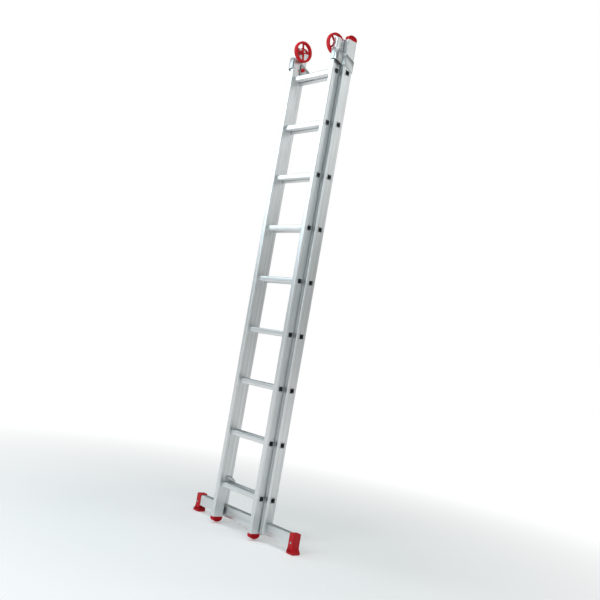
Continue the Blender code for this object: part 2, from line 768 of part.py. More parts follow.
def window_mesh(name, turn_degrees):
    """Cutters that leave the spokes between the hub and the rim."""
    inner = WHEEL_HUB_RADIUS + WHEEL_RIM * WHEEL_EDGE
    outer = WHEEL_RADIUS - WHEEL_RIM - 2 * FIT
    half_spoke = WHEEL_SPOKE_WIDTH / 2
    reach = WHEEL_WIDTH
    steps = WHEEL_STEPS // WHEEL_SPOKES
    made = []
    for index in range(WHEEL_SPOKES):
        middle = 2 * math.pi * (index + 0.5) / WHEEL_SPOKES + math.radians(turn_degrees)
        section = []
        for radius, turn in ((outer, 1), (inner, -1)):
            span = math.pi / WHEEL_SPOKES - math.asin(half_spoke / radius)
            for step in range(steps + 1):
                angle = middle + turn * span * (2 * step / steps - 1)
                section.append((radius * math.cos(angle), radius * math.sin(angle)))
        rings = [ring_x(-reach, section), ring_x(reach, section)]
        made.append(band_mesh(f"{name}_{index}", rings, False))
    return joined_mesh(name, made)


def add_wheel(side, sign, parent, stile, finishes):
    """A spoked wheel inside the stile's top, and the pin that it turns on."""
    place = (sign * WHEEL_X, WHEEL_Y, WHEEL_Z)
    name = f"wall_wheel_{side}"
    profile = [(sign * along, radius) for along, radius in wheel_profile()]
    mesh = turned_mesh(name, profile, WHEEL_STEPS, hollow=True)
    wheel = add_object(name, mesh, finishes["red"], parent, place)
    mesh = window_mesh(f"{name}_windows", WHEEL_TURNS[side])
    windows = cutter_from(f"{name}_windows", mesh, parent, place)
    cut(wheel, windows, "windows")

    pin = f"wheel_axle_{side}"
    inner_end = -WHEEL_WIDTH / 2 - 2 * FIT
    outer_end = FLY_HALF - WHEEL_X + FIT
    head = AXLE_RADIUS * PIN_HEAD
    head_height = AXLE_RADIUS * AXLE_HEAD_HEIGHT
    profile = [
        (inner_end - head_height, head * PIN_CROWN),
        (inner_end - head_height / 3, head),
        (inner_end, head),
        (inner_end, AXLE_RADIUS),
        (outer_end, AXLE_RADIUS),
        (outer_end, head * PIN_CROWN),
        (outer_end + head_height / 2, head * PIN_CROWN),
        (outer_end + head_height, head * PIN_END),
    ]
    profile = [(sign * along, radius) for along, radius in profile]
    add_object(pin, turned_mesh(pin, profile), finishes["steel"], parent, place)
    hole = pin_hole_mesh(f"{pin}_hole", AXLE_RADIUS + RUNNING, -STILE_WIDTH, STILE_WIDTH)
    middle = (sign * (FLY_HALF - STILE_WIDTH / 2), WHEEL_Y, WHEEL_Z)
    cut(stile, cutter_from(f"{pin}_hole", hole, parent, middle), "axle_hole")


# Catch hooks


def hook_outline():
    """Side outline of a catch over a base rung, about its pivot."""
    roof = HOOK_ROOF_GAP - HOOK_PIVOT_ABOVE_RUNG
    rung_front = HOOK_PIVOT_SETBACK
    nose = rung_front + RUNG_DEPTH + HOOK_NOSE_GAP
    tip = -HOOK_PIVOT_ABOVE_RUNG - HOOK_NOSE_DROP
    points = []
    for step in range(HOOK_EYE_STEPS + 1):
        angle = math.radians(HOOK_EYE_START + HOOK_EYE_SPAN * step / HOOK_EYE_STEPS)
        points.append((HOOK_RADIUS * math.cos(angle), HOOK_RADIUS * math.sin(angle)))
    mouth = rung_front - 2 * HOOK_NOSE_GAP
    points += [
        (mouth - HOOK_NOSE_GAP, roof + HOOK_RADIUS / 3),
        (mouth, roof),
        (nose, roof),
        (nose, tip),
        (nose + HOOK_NOSE / 2, tip - HOOK_NOSE / 4),
        (nose + HOOK_NOSE, tip + HOOK_NOSE / 4),
        (nose + HOOK_NOSE, roof + HOOK_RADIUS / 3),
        (mouth + HOOK_NOSE / 2, HOOK_RADIUS * HOOK_BACK),
    ]
    return points


def add_hook(side, sign, parent, stile, finishes):
    """A catch over the base's first rung, and the pin that it swings on."""
    half = HOOK_THICKNESS / 2
    outline = hook_outline()
    name = f"catch_hook_{side}"
    mesh = band_mesh(name, [ring_x(-half, outline), ring_x(half, outline)], False)
    place = (sign * HOOK_X, HOOK_Y, HOOK_Z)
    hook = add_object(name, mesh, finishes["strip"], parent, place)
    end = half + RUNNING + 3 * STILE_WALL
    hole = pin_hole_mesh(f"{name}_hole", PIVOT_RADIUS + RUNNING, -STILE_WIDTH, end)
    cutter = cutter_from(f"{name}_hole", hole, parent, place)
    cutter.scale = (sign, 1, 1)
    cut(hook, cutter, "pivot_hole")
    cut(stile, cutter, "pivot_hole")

    pin = f"hook_pivot_{side}"
    head = PIVOT_RADIUS * PIN_HEAD
    wall = half + RUNNING
    inside = wall + STILE_WALL + RUNNING
    profile = [
        (-wall - PIVOT_RADIUS * PIVOT_HEAD_HEIGHT, head * HEAD_BEVEL),
        (-wall - PIVOT_RADIUS * PIVOT_HEAD_SHOULDER, head),
        (-wall, head),
        (-wall, PIVOT_RADIUS),
        (inside, PIVOT_RADIUS),
        (inside, head),
        (inside + PIVOT_RADIUS / 2, head),
    ]
    profile = [(sign * along, radius) for along, radius in profile]
    add_object(pin, turned_mesh(pin, profile), finishes["steel"], parent, place)


def main():
    clear_scene()
    finishes = {
        "profile": aluminium_profile(),
        "strip": aluminium_strip(),
        "red": red_plastic(),
        "black": black_plastic(),
        "steel": zinc_steel(),
    }
    base = add_empty("base_section", (0, FRONT_SHIFT, 0))
    fly = add_empty("fly_section", (0, FRONT_SHIFT, 0))

    base_stiles = add_section("base", base, BASE_HALF, BASE_FRONT, finishes["profile"])
    bar = add_bar(base, base_stiles, finishes["profile"])
    add_bar_bolts(base, bar, base_stiles, finishes["steel"])
    add_shoes(base, bar, finishes["red"], finishes["steel"])
    fly_stiles = add_section("fly", fly, FLY_HALF, 0.0, finishes["profile"])
    for side, sign in SIDES.items():
        middle = BASE_FRONT + STILE_DEPTH / 2
        place = (sign * (BASE_HALF - STILE_WIDTH / 2), middle, STILE_TOP + FIT)
        add_cap(f"base_top_cap_{side}", base, place, True, finishes["red"])
        place = (sign * (FLY_HALF - STILE_WIDTH / 2), STILE_DEPTH / 2, STILE_LIFT - FIT)
        add_cap(f"fly_foot_{side}", fly, place, False, finishes["red"])
        add_bracket(side, sign, base, base_stiles[side], finishes)
        add_wheel(side, sign, fly, fly_stiles[side], finishes)
        add_hook(side, sign, fly, fly_stiles[side], finishes)


if __name__ == "__main__":
    main()
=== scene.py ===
"""Finishes the two-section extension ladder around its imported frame.

Every class makes one kind of sub-assembly at full detail, dresses it and lets it ride on its body.
Metres, +Z up, the ladder's front towards -Y. Places and overall sizes come from the frame's boxes.
"""

import json
import logging
import math
from collections.abc import Callable, Sequence
from dataclasses import dataclass, field
from enum import Enum

import bmesh
import bpy
from mathutils import Matrix, Vector


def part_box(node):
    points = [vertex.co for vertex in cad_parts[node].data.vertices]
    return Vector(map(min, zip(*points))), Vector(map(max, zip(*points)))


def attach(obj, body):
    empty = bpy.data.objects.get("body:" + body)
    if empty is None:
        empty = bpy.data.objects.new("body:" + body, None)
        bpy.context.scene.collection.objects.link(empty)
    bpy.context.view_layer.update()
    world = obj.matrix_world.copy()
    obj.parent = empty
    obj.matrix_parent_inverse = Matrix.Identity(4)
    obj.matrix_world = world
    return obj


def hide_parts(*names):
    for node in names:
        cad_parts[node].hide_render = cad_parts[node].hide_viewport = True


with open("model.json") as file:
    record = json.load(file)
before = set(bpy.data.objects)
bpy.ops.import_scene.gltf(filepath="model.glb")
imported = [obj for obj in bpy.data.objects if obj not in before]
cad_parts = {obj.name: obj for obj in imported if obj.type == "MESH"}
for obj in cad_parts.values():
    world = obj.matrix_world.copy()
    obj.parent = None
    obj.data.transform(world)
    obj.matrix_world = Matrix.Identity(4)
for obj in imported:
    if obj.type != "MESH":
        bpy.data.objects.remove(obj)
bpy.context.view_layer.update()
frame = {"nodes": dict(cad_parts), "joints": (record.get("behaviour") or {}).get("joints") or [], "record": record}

LOG = logging.getLogger("ladder")
Number = float | int
Point = tuple[float, float]


class Side(Enum):
    """The ladder's two sides, seen from the front."""

    LEFT = -1
    RIGHT = 1

    @property
    def word(self) -> str:
        """The side's name in node names."""
        return self.name.lower()


class Finish(Enum):
    """The finishes, named as their slots in the frame's record."""

    PROFILE = "aluminium_profile"
    STRIP = "aluminium_strip"
    RED = "red_plastic"
    BLACK = "black_plastic"
    STEEL = "zinc_steel"


# Shader graphs


class Value:
    """A node's output that takes part in Python arithmetic."""

    def __init__(self, graph: "Graph", socket: bpy.types.NodeSocket) -> None:
        """Hold a socket and the graph that it belongs to."""
        self.graph = graph
        self.socket = socket

    def _math(self, operation: str, first: "Value | Number", second: "Value | Number") -> "Value":
        """Add one Math node for an operator."""
        return self.graph.node("ShaderNodeMath", {"operation": operation}, {0: first, 1: second})

    def __add__(self, other: "Value | Number") -> "Value":
        """Add."""
        return self._math("ADD", self, other)

    __radd__ = __add__

    def __sub__(self, other: "Value | Number") -> "Value":
        """Subtract."""
        return self._math("SUBTRACT", self, other)

    def __rsub__(self, other: "Value | Number") -> "Value":
        """Subtract this from a number."""
        return self._math("SUBTRACT", other, self)

    def __mul__(self, other: "Value | Number") -> "Value":
        """Multiply."""
        return self._math("MULTIPLY", self, other)

    __rmul__ = __mul__

    def __pow__(self, other: "Value | Number") -> "Value":
        """Raise to a power."""
        return self._math("POWER", self, other)

    def band(self, low: float, high: float) -> "Value":
        """Stretch low to high over 0 to 1, with both ends clamped.

        Args:
            low: The value that becomes 0.
            high: The value that becomes 1.

        Returns:
            The stretched value.
        """
        return self.graph.node(
            "ShaderNodeMapRange",
            {"clamp": True},
            {"Value": self, "From Min": low, "From Max": high},
        )


class Graph:
    """A material's node tree around one Principled shader."""

    def __init__(self, name: str) -> None:
        """Start an empty graph.

        Args:
            name: The material's name.
        """
        self.material = bpy.data.materials.new(name)
        self.material.use_nodes = True
        self.tree = self.material.node_tree
        self.principled = self.tree.nodes["Principled BSDF"]

    def feed(self, socket: bpy.types.NodeSocket, value: object) -> None:
        """Link a value into a socket, or set the socket to a constant.

        Args:
            socket: The input that is fed.
            value: A Value, a number or a tuple.
        """
        if isinstance(value, Value):
            self.tree.links.new(value.socket, socket)
        else:
            socket.default_value = value

    def node(
        self,
        kind: str,
        settings: dict[str, object] | None = None,
        sockets: dict[str | int, object] | None = None,
        output: str | int = 0,
    ) -> Value:
        """Add a node.

        Args:
            kind: The node's type.
            settings: Its properties, set before its sockets.
            sockets: Links or constants for its inputs, by name or place.
            output: Which of its outputs is wanted.

        Returns:
            That output.
        """
        made = self.tree.nodes.new(kind)
        for name, setting in (settings or {}).items():
            setattr(made, name, setting)
        for key, value in (sockets or {}).items():
            self.feed(made.inputs[key], value)
        return Value(self, made.outputs[output])

    def mix(self, factor: Value | Number, first: object, second: object) -> Value:
        """Mix two colours.

        Args:
            factor: 0 gives the first, and 1 the second.
            first: A colour.
            second: A colour.

        Returns:
            The mixed colour.
        """
        return self.node(
            "ShaderNodeMix",
            {"data_type": "RGBA"},
            {0: factor, 6: first, 7: second},
            2,
        )

    def noise(
        self, stretch: Sequence[float], detail: float = 3.0, roughness: float = 0.55
    ) -> Value:
        """Noise over the piece's own coordinates.

        Args:
            stretch: Cells per metre along X, Y and Z.
            detail: Octaves.
            roughness: How strong the finer octaves are.

        Returns:
            The noise, about 0 to 1.
        """
        place = self.node("ShaderNodeTexCoord", output="Object")
        mapped = self.node("ShaderNodeMapping", None, {"Vector": place, "Scale": stretch})
        return self.node(
            "ShaderNodeTexNoise",
            None,
            {"Vector": mapped, "Scale": 1.0, "Detail": detail, "Roughness": roughness},
        )

    def wear(self, start: float, full: float) -> Value:
        """How much a point lies on a worn outer edge.

        Args:
            start: Where wear starts, as the surface's pointiness.
            full: Where it is complete.

        Returns:
            A mask from 0 to 1.
        """
        return self.node("ShaderNodeNewGeometry", output="Pointiness").band(start, full)

    def bump(self, height: Value, strength: float, distance: float) -> Value:
        """Turn a height into a normal.

        Args:
            height: The height, about 0 to 1.
            strength: The share of the effect.
            distance: The height of 1, in metres.

        Returns:
            The normal.
        """
        return self.node(
            "ShaderNodeBump",
            None,
            {"Height": height, "Strength": strength, "Distance": distance},
        )

    def shade(self, **inputs: object) -> bpy.types.Material:
        """Feed the Principled shader.

        Args:
            inputs: Its inputs, with underscores for the spaces in their names.

        Returns:
            The material.
        """
        for name, value in inputs.items():
            self.feed(self.principled.inputs[name.replace("_", " ")], value)
        return self.material


@dataclass(frozen=True)
class DrawnMetal:
    """Mill-finished metal with the lengthwise lines that a die or rollers leave."""

    name: str
    light: tuple[float, float, float, float]
    dark: tuple[float, float, float, float]
    along: tuple[float, float, float]
    roughness: float = 0.36
    line_depth: float = 0.00006
    fine: float = 900.0
    broad: float = 70.0
    slow: float = 4.0
    cloud_cells: tuple[float, float, float] = (7.0, 7.0, 3.0)
    scuff_cells: tuple[float, float, float] = (130.0, 130.0, 95.0)
    rubbed: tuple[float, float, float, float] = (0.9, 0.91, 0.92, 1.0)

    def stretch(self, across: float) -> tuple[float, ...]:
        """Cells per metre: many across the grain, few along it.

        Args:
            across: Cells per metre across the grain.

        Returns:
            The count for each axis.
        """
        return tuple(self.slow if axis else across for axis in self.along)

    def make(self) -> bpy.types.Material:
        """Build the material."""
        graph = Graph(self.name)
        lines = graph.noise(self.stretch(self.fine), 2.0)
        streaks = graph.noise(self.stretch(self.broad), 4.0)
        clouds = graph.noise(self.cloud_cells, 4.0, 0.6)
        scuffs = graph.noise(self.scuff_cells, 5.0, 0.7).band(0.62, 0.8)
        tone = streaks.band(0.3, 0.75) * 0.5 + clouds.band(0.35, 0.7) * 0.5
        base = graph.mix(tone, self.light, self.dark)
        worn = graph.mix(graph.wear(0.52, 0.6) * 0.6, base, self.rubbed)
        rough = lines * 0.1 + clouds * 0.12 + scuffs * 0.12 + (self.roughness - 0.1)
        return graph.shade(
            Base_Color=worn,
            Metallic=1.0,
            Roughness=rough,
            Normal=graph.bump(lines + streaks * 0.5 + scuffs * 0.3, 0.35, self.line_depth),
        )


@dataclass(frozen=True)
class MouldedPlastic:
    """Moulded plastic with a fine eroded grain, flow clouds and rubbed edges."""

    name: str
    colour: tuple[float, float, float, float]
    deep: tuple[float, float, float, float]
    rubbed: tuple[float, float, float, float]
    roughness: float
    specular: float = 0.4
    grain_cells: tuple[float, float, float] = (1700.0, 1700.0, 1700.0)
    flow_cells: tuple[float, float, float] = (45.0, 45.0, 22.0)
    scratch_cells: tuple[float, float, float] = (900.0, 60.0, 120.0)
    grain_depth: float = 0.00008

    def make(self) -> bpy.types.Material:
        """Build the material."""
        graph = Graph(self.name)
        grain = graph.noise(self.grain_cells, 2.0, 0.5)
        flow = graph.noise(self.flow_cells, 4.0, 0.55)
        scratches = graph.noise(self.scratch_cells, 3.0, 0.7).band(0.66, 0.78)
        base = graph.mix(flow.band(0.3, 0.75), self.colour, self.deep)
        edge = graph.wear(0.53, 0.64) * (flow * 0.6 + 0.2)
        worn = graph.mix(edge, base, self.rubbed)
        marked = graph.mix(scratches * 0.25, worn, self.rubbed)
        rough = flow * 0.14 + grain * 0.08 + scratches * 0.15 + (self.roughness - 0.1)
        return graph.shade(
            Base_Color=marked,
            Roughness=rough,
            Specular_IOR_Level=self.specular,
            Normal=graph.bump(grain + scratches * 0.5, 0.25, self.grain_depth),
        )


@dataclass(frozen=True)
class PlatedSteel:
    """Zinc-plated steel: bright, faintly mottled, darker where it was handled."""

    name: str
    light: tuple[float, float, float, float] = (0.66, 0.67, 0.68, 1.0)
    dark: tuple[float, float, float, float] = (0.36, 0.37, 0.38, 1.0)
    rubbed: tuple[float, float, float, float] = (0.85, 0.85, 0.86, 1.0)
    spangle_cells: float = 900.0
    stain_cells: tuple[float, float, float] = (220.0, 220.0, 220.0)
    spangle_depth: float = 0.00005

    def make(self) -> bpy.types.Material:
        """Build the material."""
        graph = Graph(self.name)
        place = graph.node("ShaderNodeTexCoord", output="Object")
        spangle = {"Vector": place, "Scale": self.spangle_cells}
        mottle = graph.node("ShaderNodeTexVoronoi", None, spangle)
        stain = graph.noise(self.stain_cells, 4.0)
        tone = mottle * 0.35 + stain.band(0.35, 0.8) * 0.5
        base = graph.mix(tone, self.light, self.dark)
        worn = graph.mix(graph.wear(0.52, 0.62) * 0.7, base, self.rubbed)
        return graph.shade(
            Base_Color=worn,
            Metallic=1.0,
            Roughness=stain * 0.25 + 0.2,
            Normal=graph.bump(mottle + stain, 0.3, self.spangle_depth),
        )


def make_finishes() -> dict[Finish, dict[str, bpy.types.Material]]:
    """Make every finish, metals once for each direction of their grain.

    Returns:
        The materials by finish and by grain axis.
    """
    pale = (0.60, 0.625, 0.63, 1.0)
    grey = (0.44, 0.467, 0.463, 1.0)
    axes = {"X": (1, 0, 0), "Z": (0, 0, 1)}
    profile = {
        axis: DrawnMetal(f"drawn_aluminium_{axis.lower()}", pale, grey, along).make()
        for axis, along in axes.items()
    }
    strip = DrawnMetal(
        "rolled_aluminium_strip",
        (0.50, 0.525, 0.53, 1.0),
        (0.35, 0.375, 0.375, 1.0),
        (1, 1, 0),
        0.34,
    ).make()
    red = MouldedPlastic(
        "red_moulded_plastic",
        (0.56, 0.002, 0.010, 1.0),
        (0.40, 0.001, 0.006, 1.0),
        (0.62, 0.05, 0.06, 1.0),
        0.42,
        0.22,
    ).make()
    black = MouldedPlastic(
        "black_liner_plastic",
        (0.012, 0.014, 0.016, 1.0),
        (0.006, 0.007, 0.008, 1.0),
        (0.09, 0.09, 0.095, 1.0),
        0.5,
    ).make()
    steel = PlatedSteel("zinc_plated_steel").make()
    return {
        Finish.PROFILE: profile,
        Finish.STRIP: {"Z": strip},
        Finish.RED: {"Z": red},
        Finish.BLACK: {"Z": black},
        Finish.STEEL: {"Z": steel},
    }


# Shapes


@dataclass(frozen=True)
class Box:
    """A node's extent at rest."""

    low: Vector
    high: Vector

    @classmethod
    def of(cls, node: str) -> "Box":
        """The box of a node of the frame."""
        return cls(*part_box(node))

    @property
    def centre(self) -> Vector:
        """The box's middle."""
        return (self.low + self.high) / 2

    @property
    def size(self) -> Vector:
        """The box's extents."""
        return self.high - self.low

    def inner_x(self, side: Side) -> float:
        """The face towards the ladder's middle."""
        return self.low.x if side is Side.RIGHT else self.high.x

    def outer_x(self, side: Side) -> float:
        """The face away from the ladder's middle."""
        return self.high.x if side is Side.RIGHT else self.low.x


class Form:
    """A closed shape, made and changed with mesh operators."""

    def __init__(self) -> None:
        """Start with nothing."""
        self.mesh = bmesh.new()

    # Making

    @classmethod
    def plate(cls, width: float, depth: float, radius: float, segments: int = 5) -> "Form":
        """A flat rectangle in XY with round corners, about the origin.

        Args:
            width: Its size along X.
            depth: Its size along Y.
            radius: The corners' radius.
            segments: Facets in each corner.

        Returns:
            The open form, one face.
        """
        form = cls()
        bmesh.ops.create_grid(form.mesh, x_segments=1, y_segments=1, size=0.5)
        bmesh.ops.scale(form.mesh, vec=(width, depth, 1), verts=form.mesh.verts)
        if radius > 0:
            form.round_corners(form.mesh.verts[:], radius, segments)
        return form

    @classmethod
    def block(
        cls, width: float, depth: float, height: float, radius: float = 0.0, segments: int = 5
    ) -> "Form":
        """A block standing on Z = 0 whose upright edges are round."""
        form = cls.plate(width, depth, radius, segments)
        form.push(form.mesh.faces[:], (0, 0, height))
        return form

    @classmethod
    def tube(
        cls,
        width: float,
        depth: float,
        length: float,
        radius: float,
        wall: float,
        segments: int = 5,
    ) -> "Form":
        """A rectangular tube standing on Z = 0.

        Args:
            width: Its outer size along X.
            depth: Its outer size along Y.
            length: Its size along Z.
            radius: The outer corners' radius.
            wall: The wall's thickness.
            segments: Facets in each corner.

        Returns:
            The form.
        """
        form = cls.plate(width, depth, radius, segments)
        middle = form.mesh.faces[:]
        bmesh.ops.inset_region(
            form.mesh, faces=middle, thickness=wall, use_boundary=True, use_even_offset=True
        )
        bmesh.ops.delete(form.mesh, geom=middle, context="FACES_ONLY")
        form.push(form.mesh.faces[:], (0, 0, length))
        return form

    @classmethod
    def turned(cls, profile: Sequence[Point], steps: int = 32, ring: bool = False) -> "Form":
        """A shape turned about Z.

        Args:
            profile: Points as radius and height.
            steps: Facets round the axis.
            ring: True where the profile runs back to its start.

        Returns:
            The form.
        """
        form = cls()
        points = [form.mesh.verts.new((radius, 0, height)) for radius, height in profile]
        pairs = list(zip(points, points[1:]))
        if ring:
            pairs.append((points[-1], points[0]))
        edges = [form.mesh.edges.new(pair) for pair in pairs]
        bmesh.ops.spin(
            form.mesh,
            geom=points + edges,
            cent=(0, 0, 0),
            axis=(0, 0, 1),
            angle=2 * math.pi,
            steps=steps,
            use_merge=True,
        )
        bmesh.ops.remove_doubles(form.mesh, verts=form.mesh.verts, dist=1e-7)
        bmesh.ops.recalc_face_normals(form.mesh, faces=form.mesh.faces)
        return form

    @classmethod
    def rod(cls, radius: float, low: float, high: float, steps: int = 32) -> "Form":
        """A round bar along Z."""
        return cls.turned([(0, low), (radius, low), (radius, high), (0, high)], steps)

    @classmethod
    def cheek(cls, outline: Sequence[Point], width: float, rounding: float = 0.0) -> "Form":
        """A plate across X cut to an outline.

        Args:
            outline: Points as Y and Z.
            width: The plate's thickness, about X = 0.
            rounding: The radius that the outline's corners get.

        Returns:
            The form.
        """
        form = cls()
        corners = [form.mesh.verts.new((-width / 2, y, z)) for y, z in outline]
        form.mesh.faces.new(corners)
        if rounding > 0:
            form.round_corners(corners, rounding, 3, clamp=True)
        form.push(form.mesh.faces[:], (width, 0, 0))
        return form

    # Changing

    def push(self, faces: Sequence[bmesh.types.BMFace], by: Sequence[float]) -> list:
        """Extrude faces and move them.

        Args:
            faces: The faces of one region.
            by: The way they move.

        Returns:
            The moved faces.
        """
        made = bmesh.ops.extrude_face_region(self.mesh, geom=list(faces))["geom"]
        points = [item for item in made if isinstance(item, bmesh.types.BMVert)]
        bmesh.ops.translate(self.mesh, vec=by, verts=points)
        bmesh.ops.recalc_face_normals(self.mesh, faces=self.mesh.faces)
        return [item for item in made if isinstance(item, bmesh.types.BMFace)]

    def transform(self, matrix: Matrix) -> "Form":
        """Apply a matrix, and keep the faces pointing out."""
        bmesh.ops.transform(self.mesh, matrix=matrix, verts=self.mesh.verts)
        if matrix.determinant() < 0:
            bmesh.ops.reverse_faces(self.mesh, faces=self.mesh.faces)
        return self

    def move(self, x: float = 0.0, y: float = 0.0, z: float = 0.0) -> "Form":
        """Shift the form."""
        return self.transform(Matrix.Translation((x, y, z)))

    def rotate(self, degrees: float, axis: str) -> "Form":
        """Turn the form about an axis through the origin."""
        return self.transform(Matrix.Rotation(math.radians(degrees), 4, axis))

    def lay_along_x(self, sign: int = 1) -> "Form":
        """Turn +Z to +X or -X."""
        return self.rotate(90 * sign, "Y")

    def lay_along_y(self, sign: int = 1) -> "Form":
        """Turn +Z to +Y or -Y."""
        return self.rotate(-90 * sign, "X")

    def mirror_x(self) -> "Form":
        """Mirror the form to the other side."""
        return self.transform(Matrix.Scale(-1, 4, (1, 0, 0)))

    def round_corners(
        self, corners: list, radius: float, segments: int, clamp: bool = False
    ) -> None:
        """Round the corners of a flat outline.

        Args:
            corners: The outline's vertices to round.
            radius: The rounding's radius.
            segments: Its facets.
            clamp: Whether neighbouring roundings stop where they meet.
        """
        bmesh.ops.bevel(
            self.mesh,
            geom=corners,
            offset=radius,
            offset_type="OFFSET",
            segments=segments,
            profile=0.5,
            affect="VERTICES",
            material=-1,
            clamp_overlap=clamp,
        )

    def soften(self, width: float, segments: int = 2, angle: float = 35.0) -> "Form":
        """Round the edges that are sharper than an angle.

        Args:
            width: The rounding's width.
            segments: Its facets.
            angle: The least bend that is rounded, in degrees.

        Returns:
            This form.
        """
        least = math.radians(angle)
        edges = [
            edge
            for edge in self.mesh.edges
            if len(edge.link_faces) == 2 and edge.calc_face_angle(0.0) > least
        ]
        bmesh.ops.bevel(
            self.mesh,
            geom=edges,
            offset=width,
            offset_type="OFFSET",
            segments=segments,
            profile=0.5,
            affect="EDGES",
            material=-1,
            clamp_overlap=True,
        )
        return self

    def slice(self, axis: int, places: Sequence[float]) -> "Form":
        """Add edges where planes across an axis meet the form."""
        normal = Vector((0, 0, 0))
        normal[axis] = 1
        for place in places:
            bmesh.ops.bisect_plane(
                self.mesh,
                geom=self.mesh.verts[:] + self.mesh.edges[:] + self.mesh.faces[:],
                dist=1e-7,
                plane_co=normal * place,
                plane_no=normal,
            )
        return self

    def faces(self, wanted: Callable[[Vector, Vector], bool]) -> list:
        """The faces whose centre and normal are wanted."""
        self.mesh.normal_update()
        return [
            face for face in self.mesh.faces if wanted(face.calc_center_median(), face.normal)
        ]

    def emboss(self, faces: Sequence[bmesh.types.BMFace], border: float, height: float) -> "Form":
        """Raise or sink each face inside a border of its own, with sloped sides.

        Args:
            faces: The faces.
            border: The border's width.
            height: How far they rise. A negative height sinks them.

        Returns:
            This form.
        """
        bmesh.ops.inset_individual(
            self.mesh, faces=list(faces), thickness=border, depth=height, use_even_offset=True
        )
        return self

    def add(self, other: "Form") -> "Form":
        """Put another closed form beside or into this one without joining the surfaces."""
        made = bpy.data.meshes.new("added")
        other.mesh.to_mesh(made)
        self.mesh.from_mesh(made)
        bpy.data.meshes.remove(made)
        return self

    def copy(self) -> "Form":
        """A second form with the same shape."""
        form = Form()
        form.mesh = self.mesh.copy()
        return form

    def _loose(self, name: str) -> bpy.types.Object:
        """A passing object for a Boolean."""
        made = bpy.data.meshes.new(name)
        self.mesh.to_mesh(made)
        loose = bpy.data.objects.new(name, made)
        bpy.context.scene.collection.objects.link(loose)
        return loose

    def _combine(self, other: "Form", operation: str) -> "Form":
        """Combine with another form through a Boolean modifier that is applied at once."""
        blank = self._loose("blank")
        tool = other._loose("tool")
        modifier = blank.modifiers.new("combine", "BOOLEAN")
        modifier.operation = operation
        modifier.solver = "EXACT"
        modifier.object = tool
        bpy.context.view_layer.update()
        graph = bpy.context.evaluated_depsgraph_get()
        made = bpy.data.meshes.new_from_object(blank.evaluated_get(graph))
        self.mesh.clear()
        self.mesh.from_mesh(made)
        for spare in (blank, tool):
            spent = spare.data
            bpy.data.objects.remove(spare)
            bpy.data.meshes.remove(spent)
        bpy.data.meshes.remove(made)
        return self

    def cut(self, other: "Form") -> "Form":
        """Take another form out of this one."""
        return self._combine(other, "DIFFERENCE")

    def join(self, other: "Form") -> "Form":
        """Unite another form with this one."""
        return self._combine(other, "UNION")


@dataclass
class Shop:
    """Turns forms into finished pieces."""

    finishes: dict[Finish, dict[str, bpy.types.Material]]
    bodies: dict[str, str] = field(default_factory=dict)
    made: int = 0

    def __post_init__(self) -> None:
        """Look up which body each node belongs to."""
        for body, nodes in frame["record"]["behaviour"]["bodies"].items():
            for node in nodes:
                self.bodies[node] = body

    def finish(
        self, form: Form, node: str, finish: Finish, grain: str = "Z", smooth: float = 32.0
    ) -> bpy.types.Object:
        """Make a piece that stands for one node of the frame.

        Args:
            form: The piece's shape, in place.
            node: The node that it replaces and whose body it rides on.
            finish: Its finish.
            grain: The axis that its grain follows.
            smooth: The bend in degrees below which its surface is smooth.

        Returns:
            The piece.
        """
        bmesh.ops.remove_doubles(form.mesh, verts=form.mesh.verts, dist=2e-6)
        bmesh.ops.recalc_face_normals(form.mesh, faces=form.mesh.faces)
        name = f"{node}_finished"
        mesh = bpy.data.meshes.new(name)
        form.mesh.to_mesh(mesh)
        form.mesh.free()
        mesh.shade_smooth()
        mesh.set_sharp_from_angle(angle=math.radians(smooth))
        mesh.materials.append(self.finishes[finish][grain])
        piece = bpy.data.objects.new(name, mesh)
        bpy.context.scene.collection.objects.link(piece)
        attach(piece, self.bodies[node])
        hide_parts(node)
        self.made += 1
        LOG.info("%s: %d faces, %s", name, len(mesh.polygons), finish.value)
        return piece


# Sub-assemblies


@dataclass
class Fastener:
    """A round-headed screw, bolt or pin with a hexagon socket."""

    shank: float
    head: float
    head_height: float
    socket: float = 0.45

    def form(self, length: float, collar: float = 0.0) -> Form:
        """The fastener along Z: its head's seat at 0, its shank towards -Z.

        Args:
            length: The shank's length.
            collar: The head on the far end, 0 for a plain chamfered tip.

        Returns:
            The form.
        """
        tip = self.shank * 0.25
        profile = [(0, -length - (self.head_height if collar else 0))]
        if collar:
            far = -length - self.head_height
            profile += [(collar * 0.8, far), (collar, far + self.head_height * 0.3)]
            profile += [(collar, -length), (self.shank, -length)]
        else:
            profile += [(self.shank - tip, -length), (self.shank, tip - length)]
        profile += [(self.shank, 0.0), (self.head, 0.0), (self.head, self.head_height * 0.4)]
        steps = 5
        for step in range(1, steps):
            angle = math.pi / 2 * step / steps
            profile.append(
                (
                    self.head * (0.62 + 0.38 * math.cos(angle)),
                    self.head_height * (0.4 + 0.6 * math.sin(angle)),
                )
            )
        profile += [(self.head * 0.6, self.head_height), (0, self.head_height)]
        form = Form.turned(profile, 28)
        key = Form.rod(self.head * self.socket, self.head_height * 0.35, self.head_height * 2, 6)
        return form.cut(key)


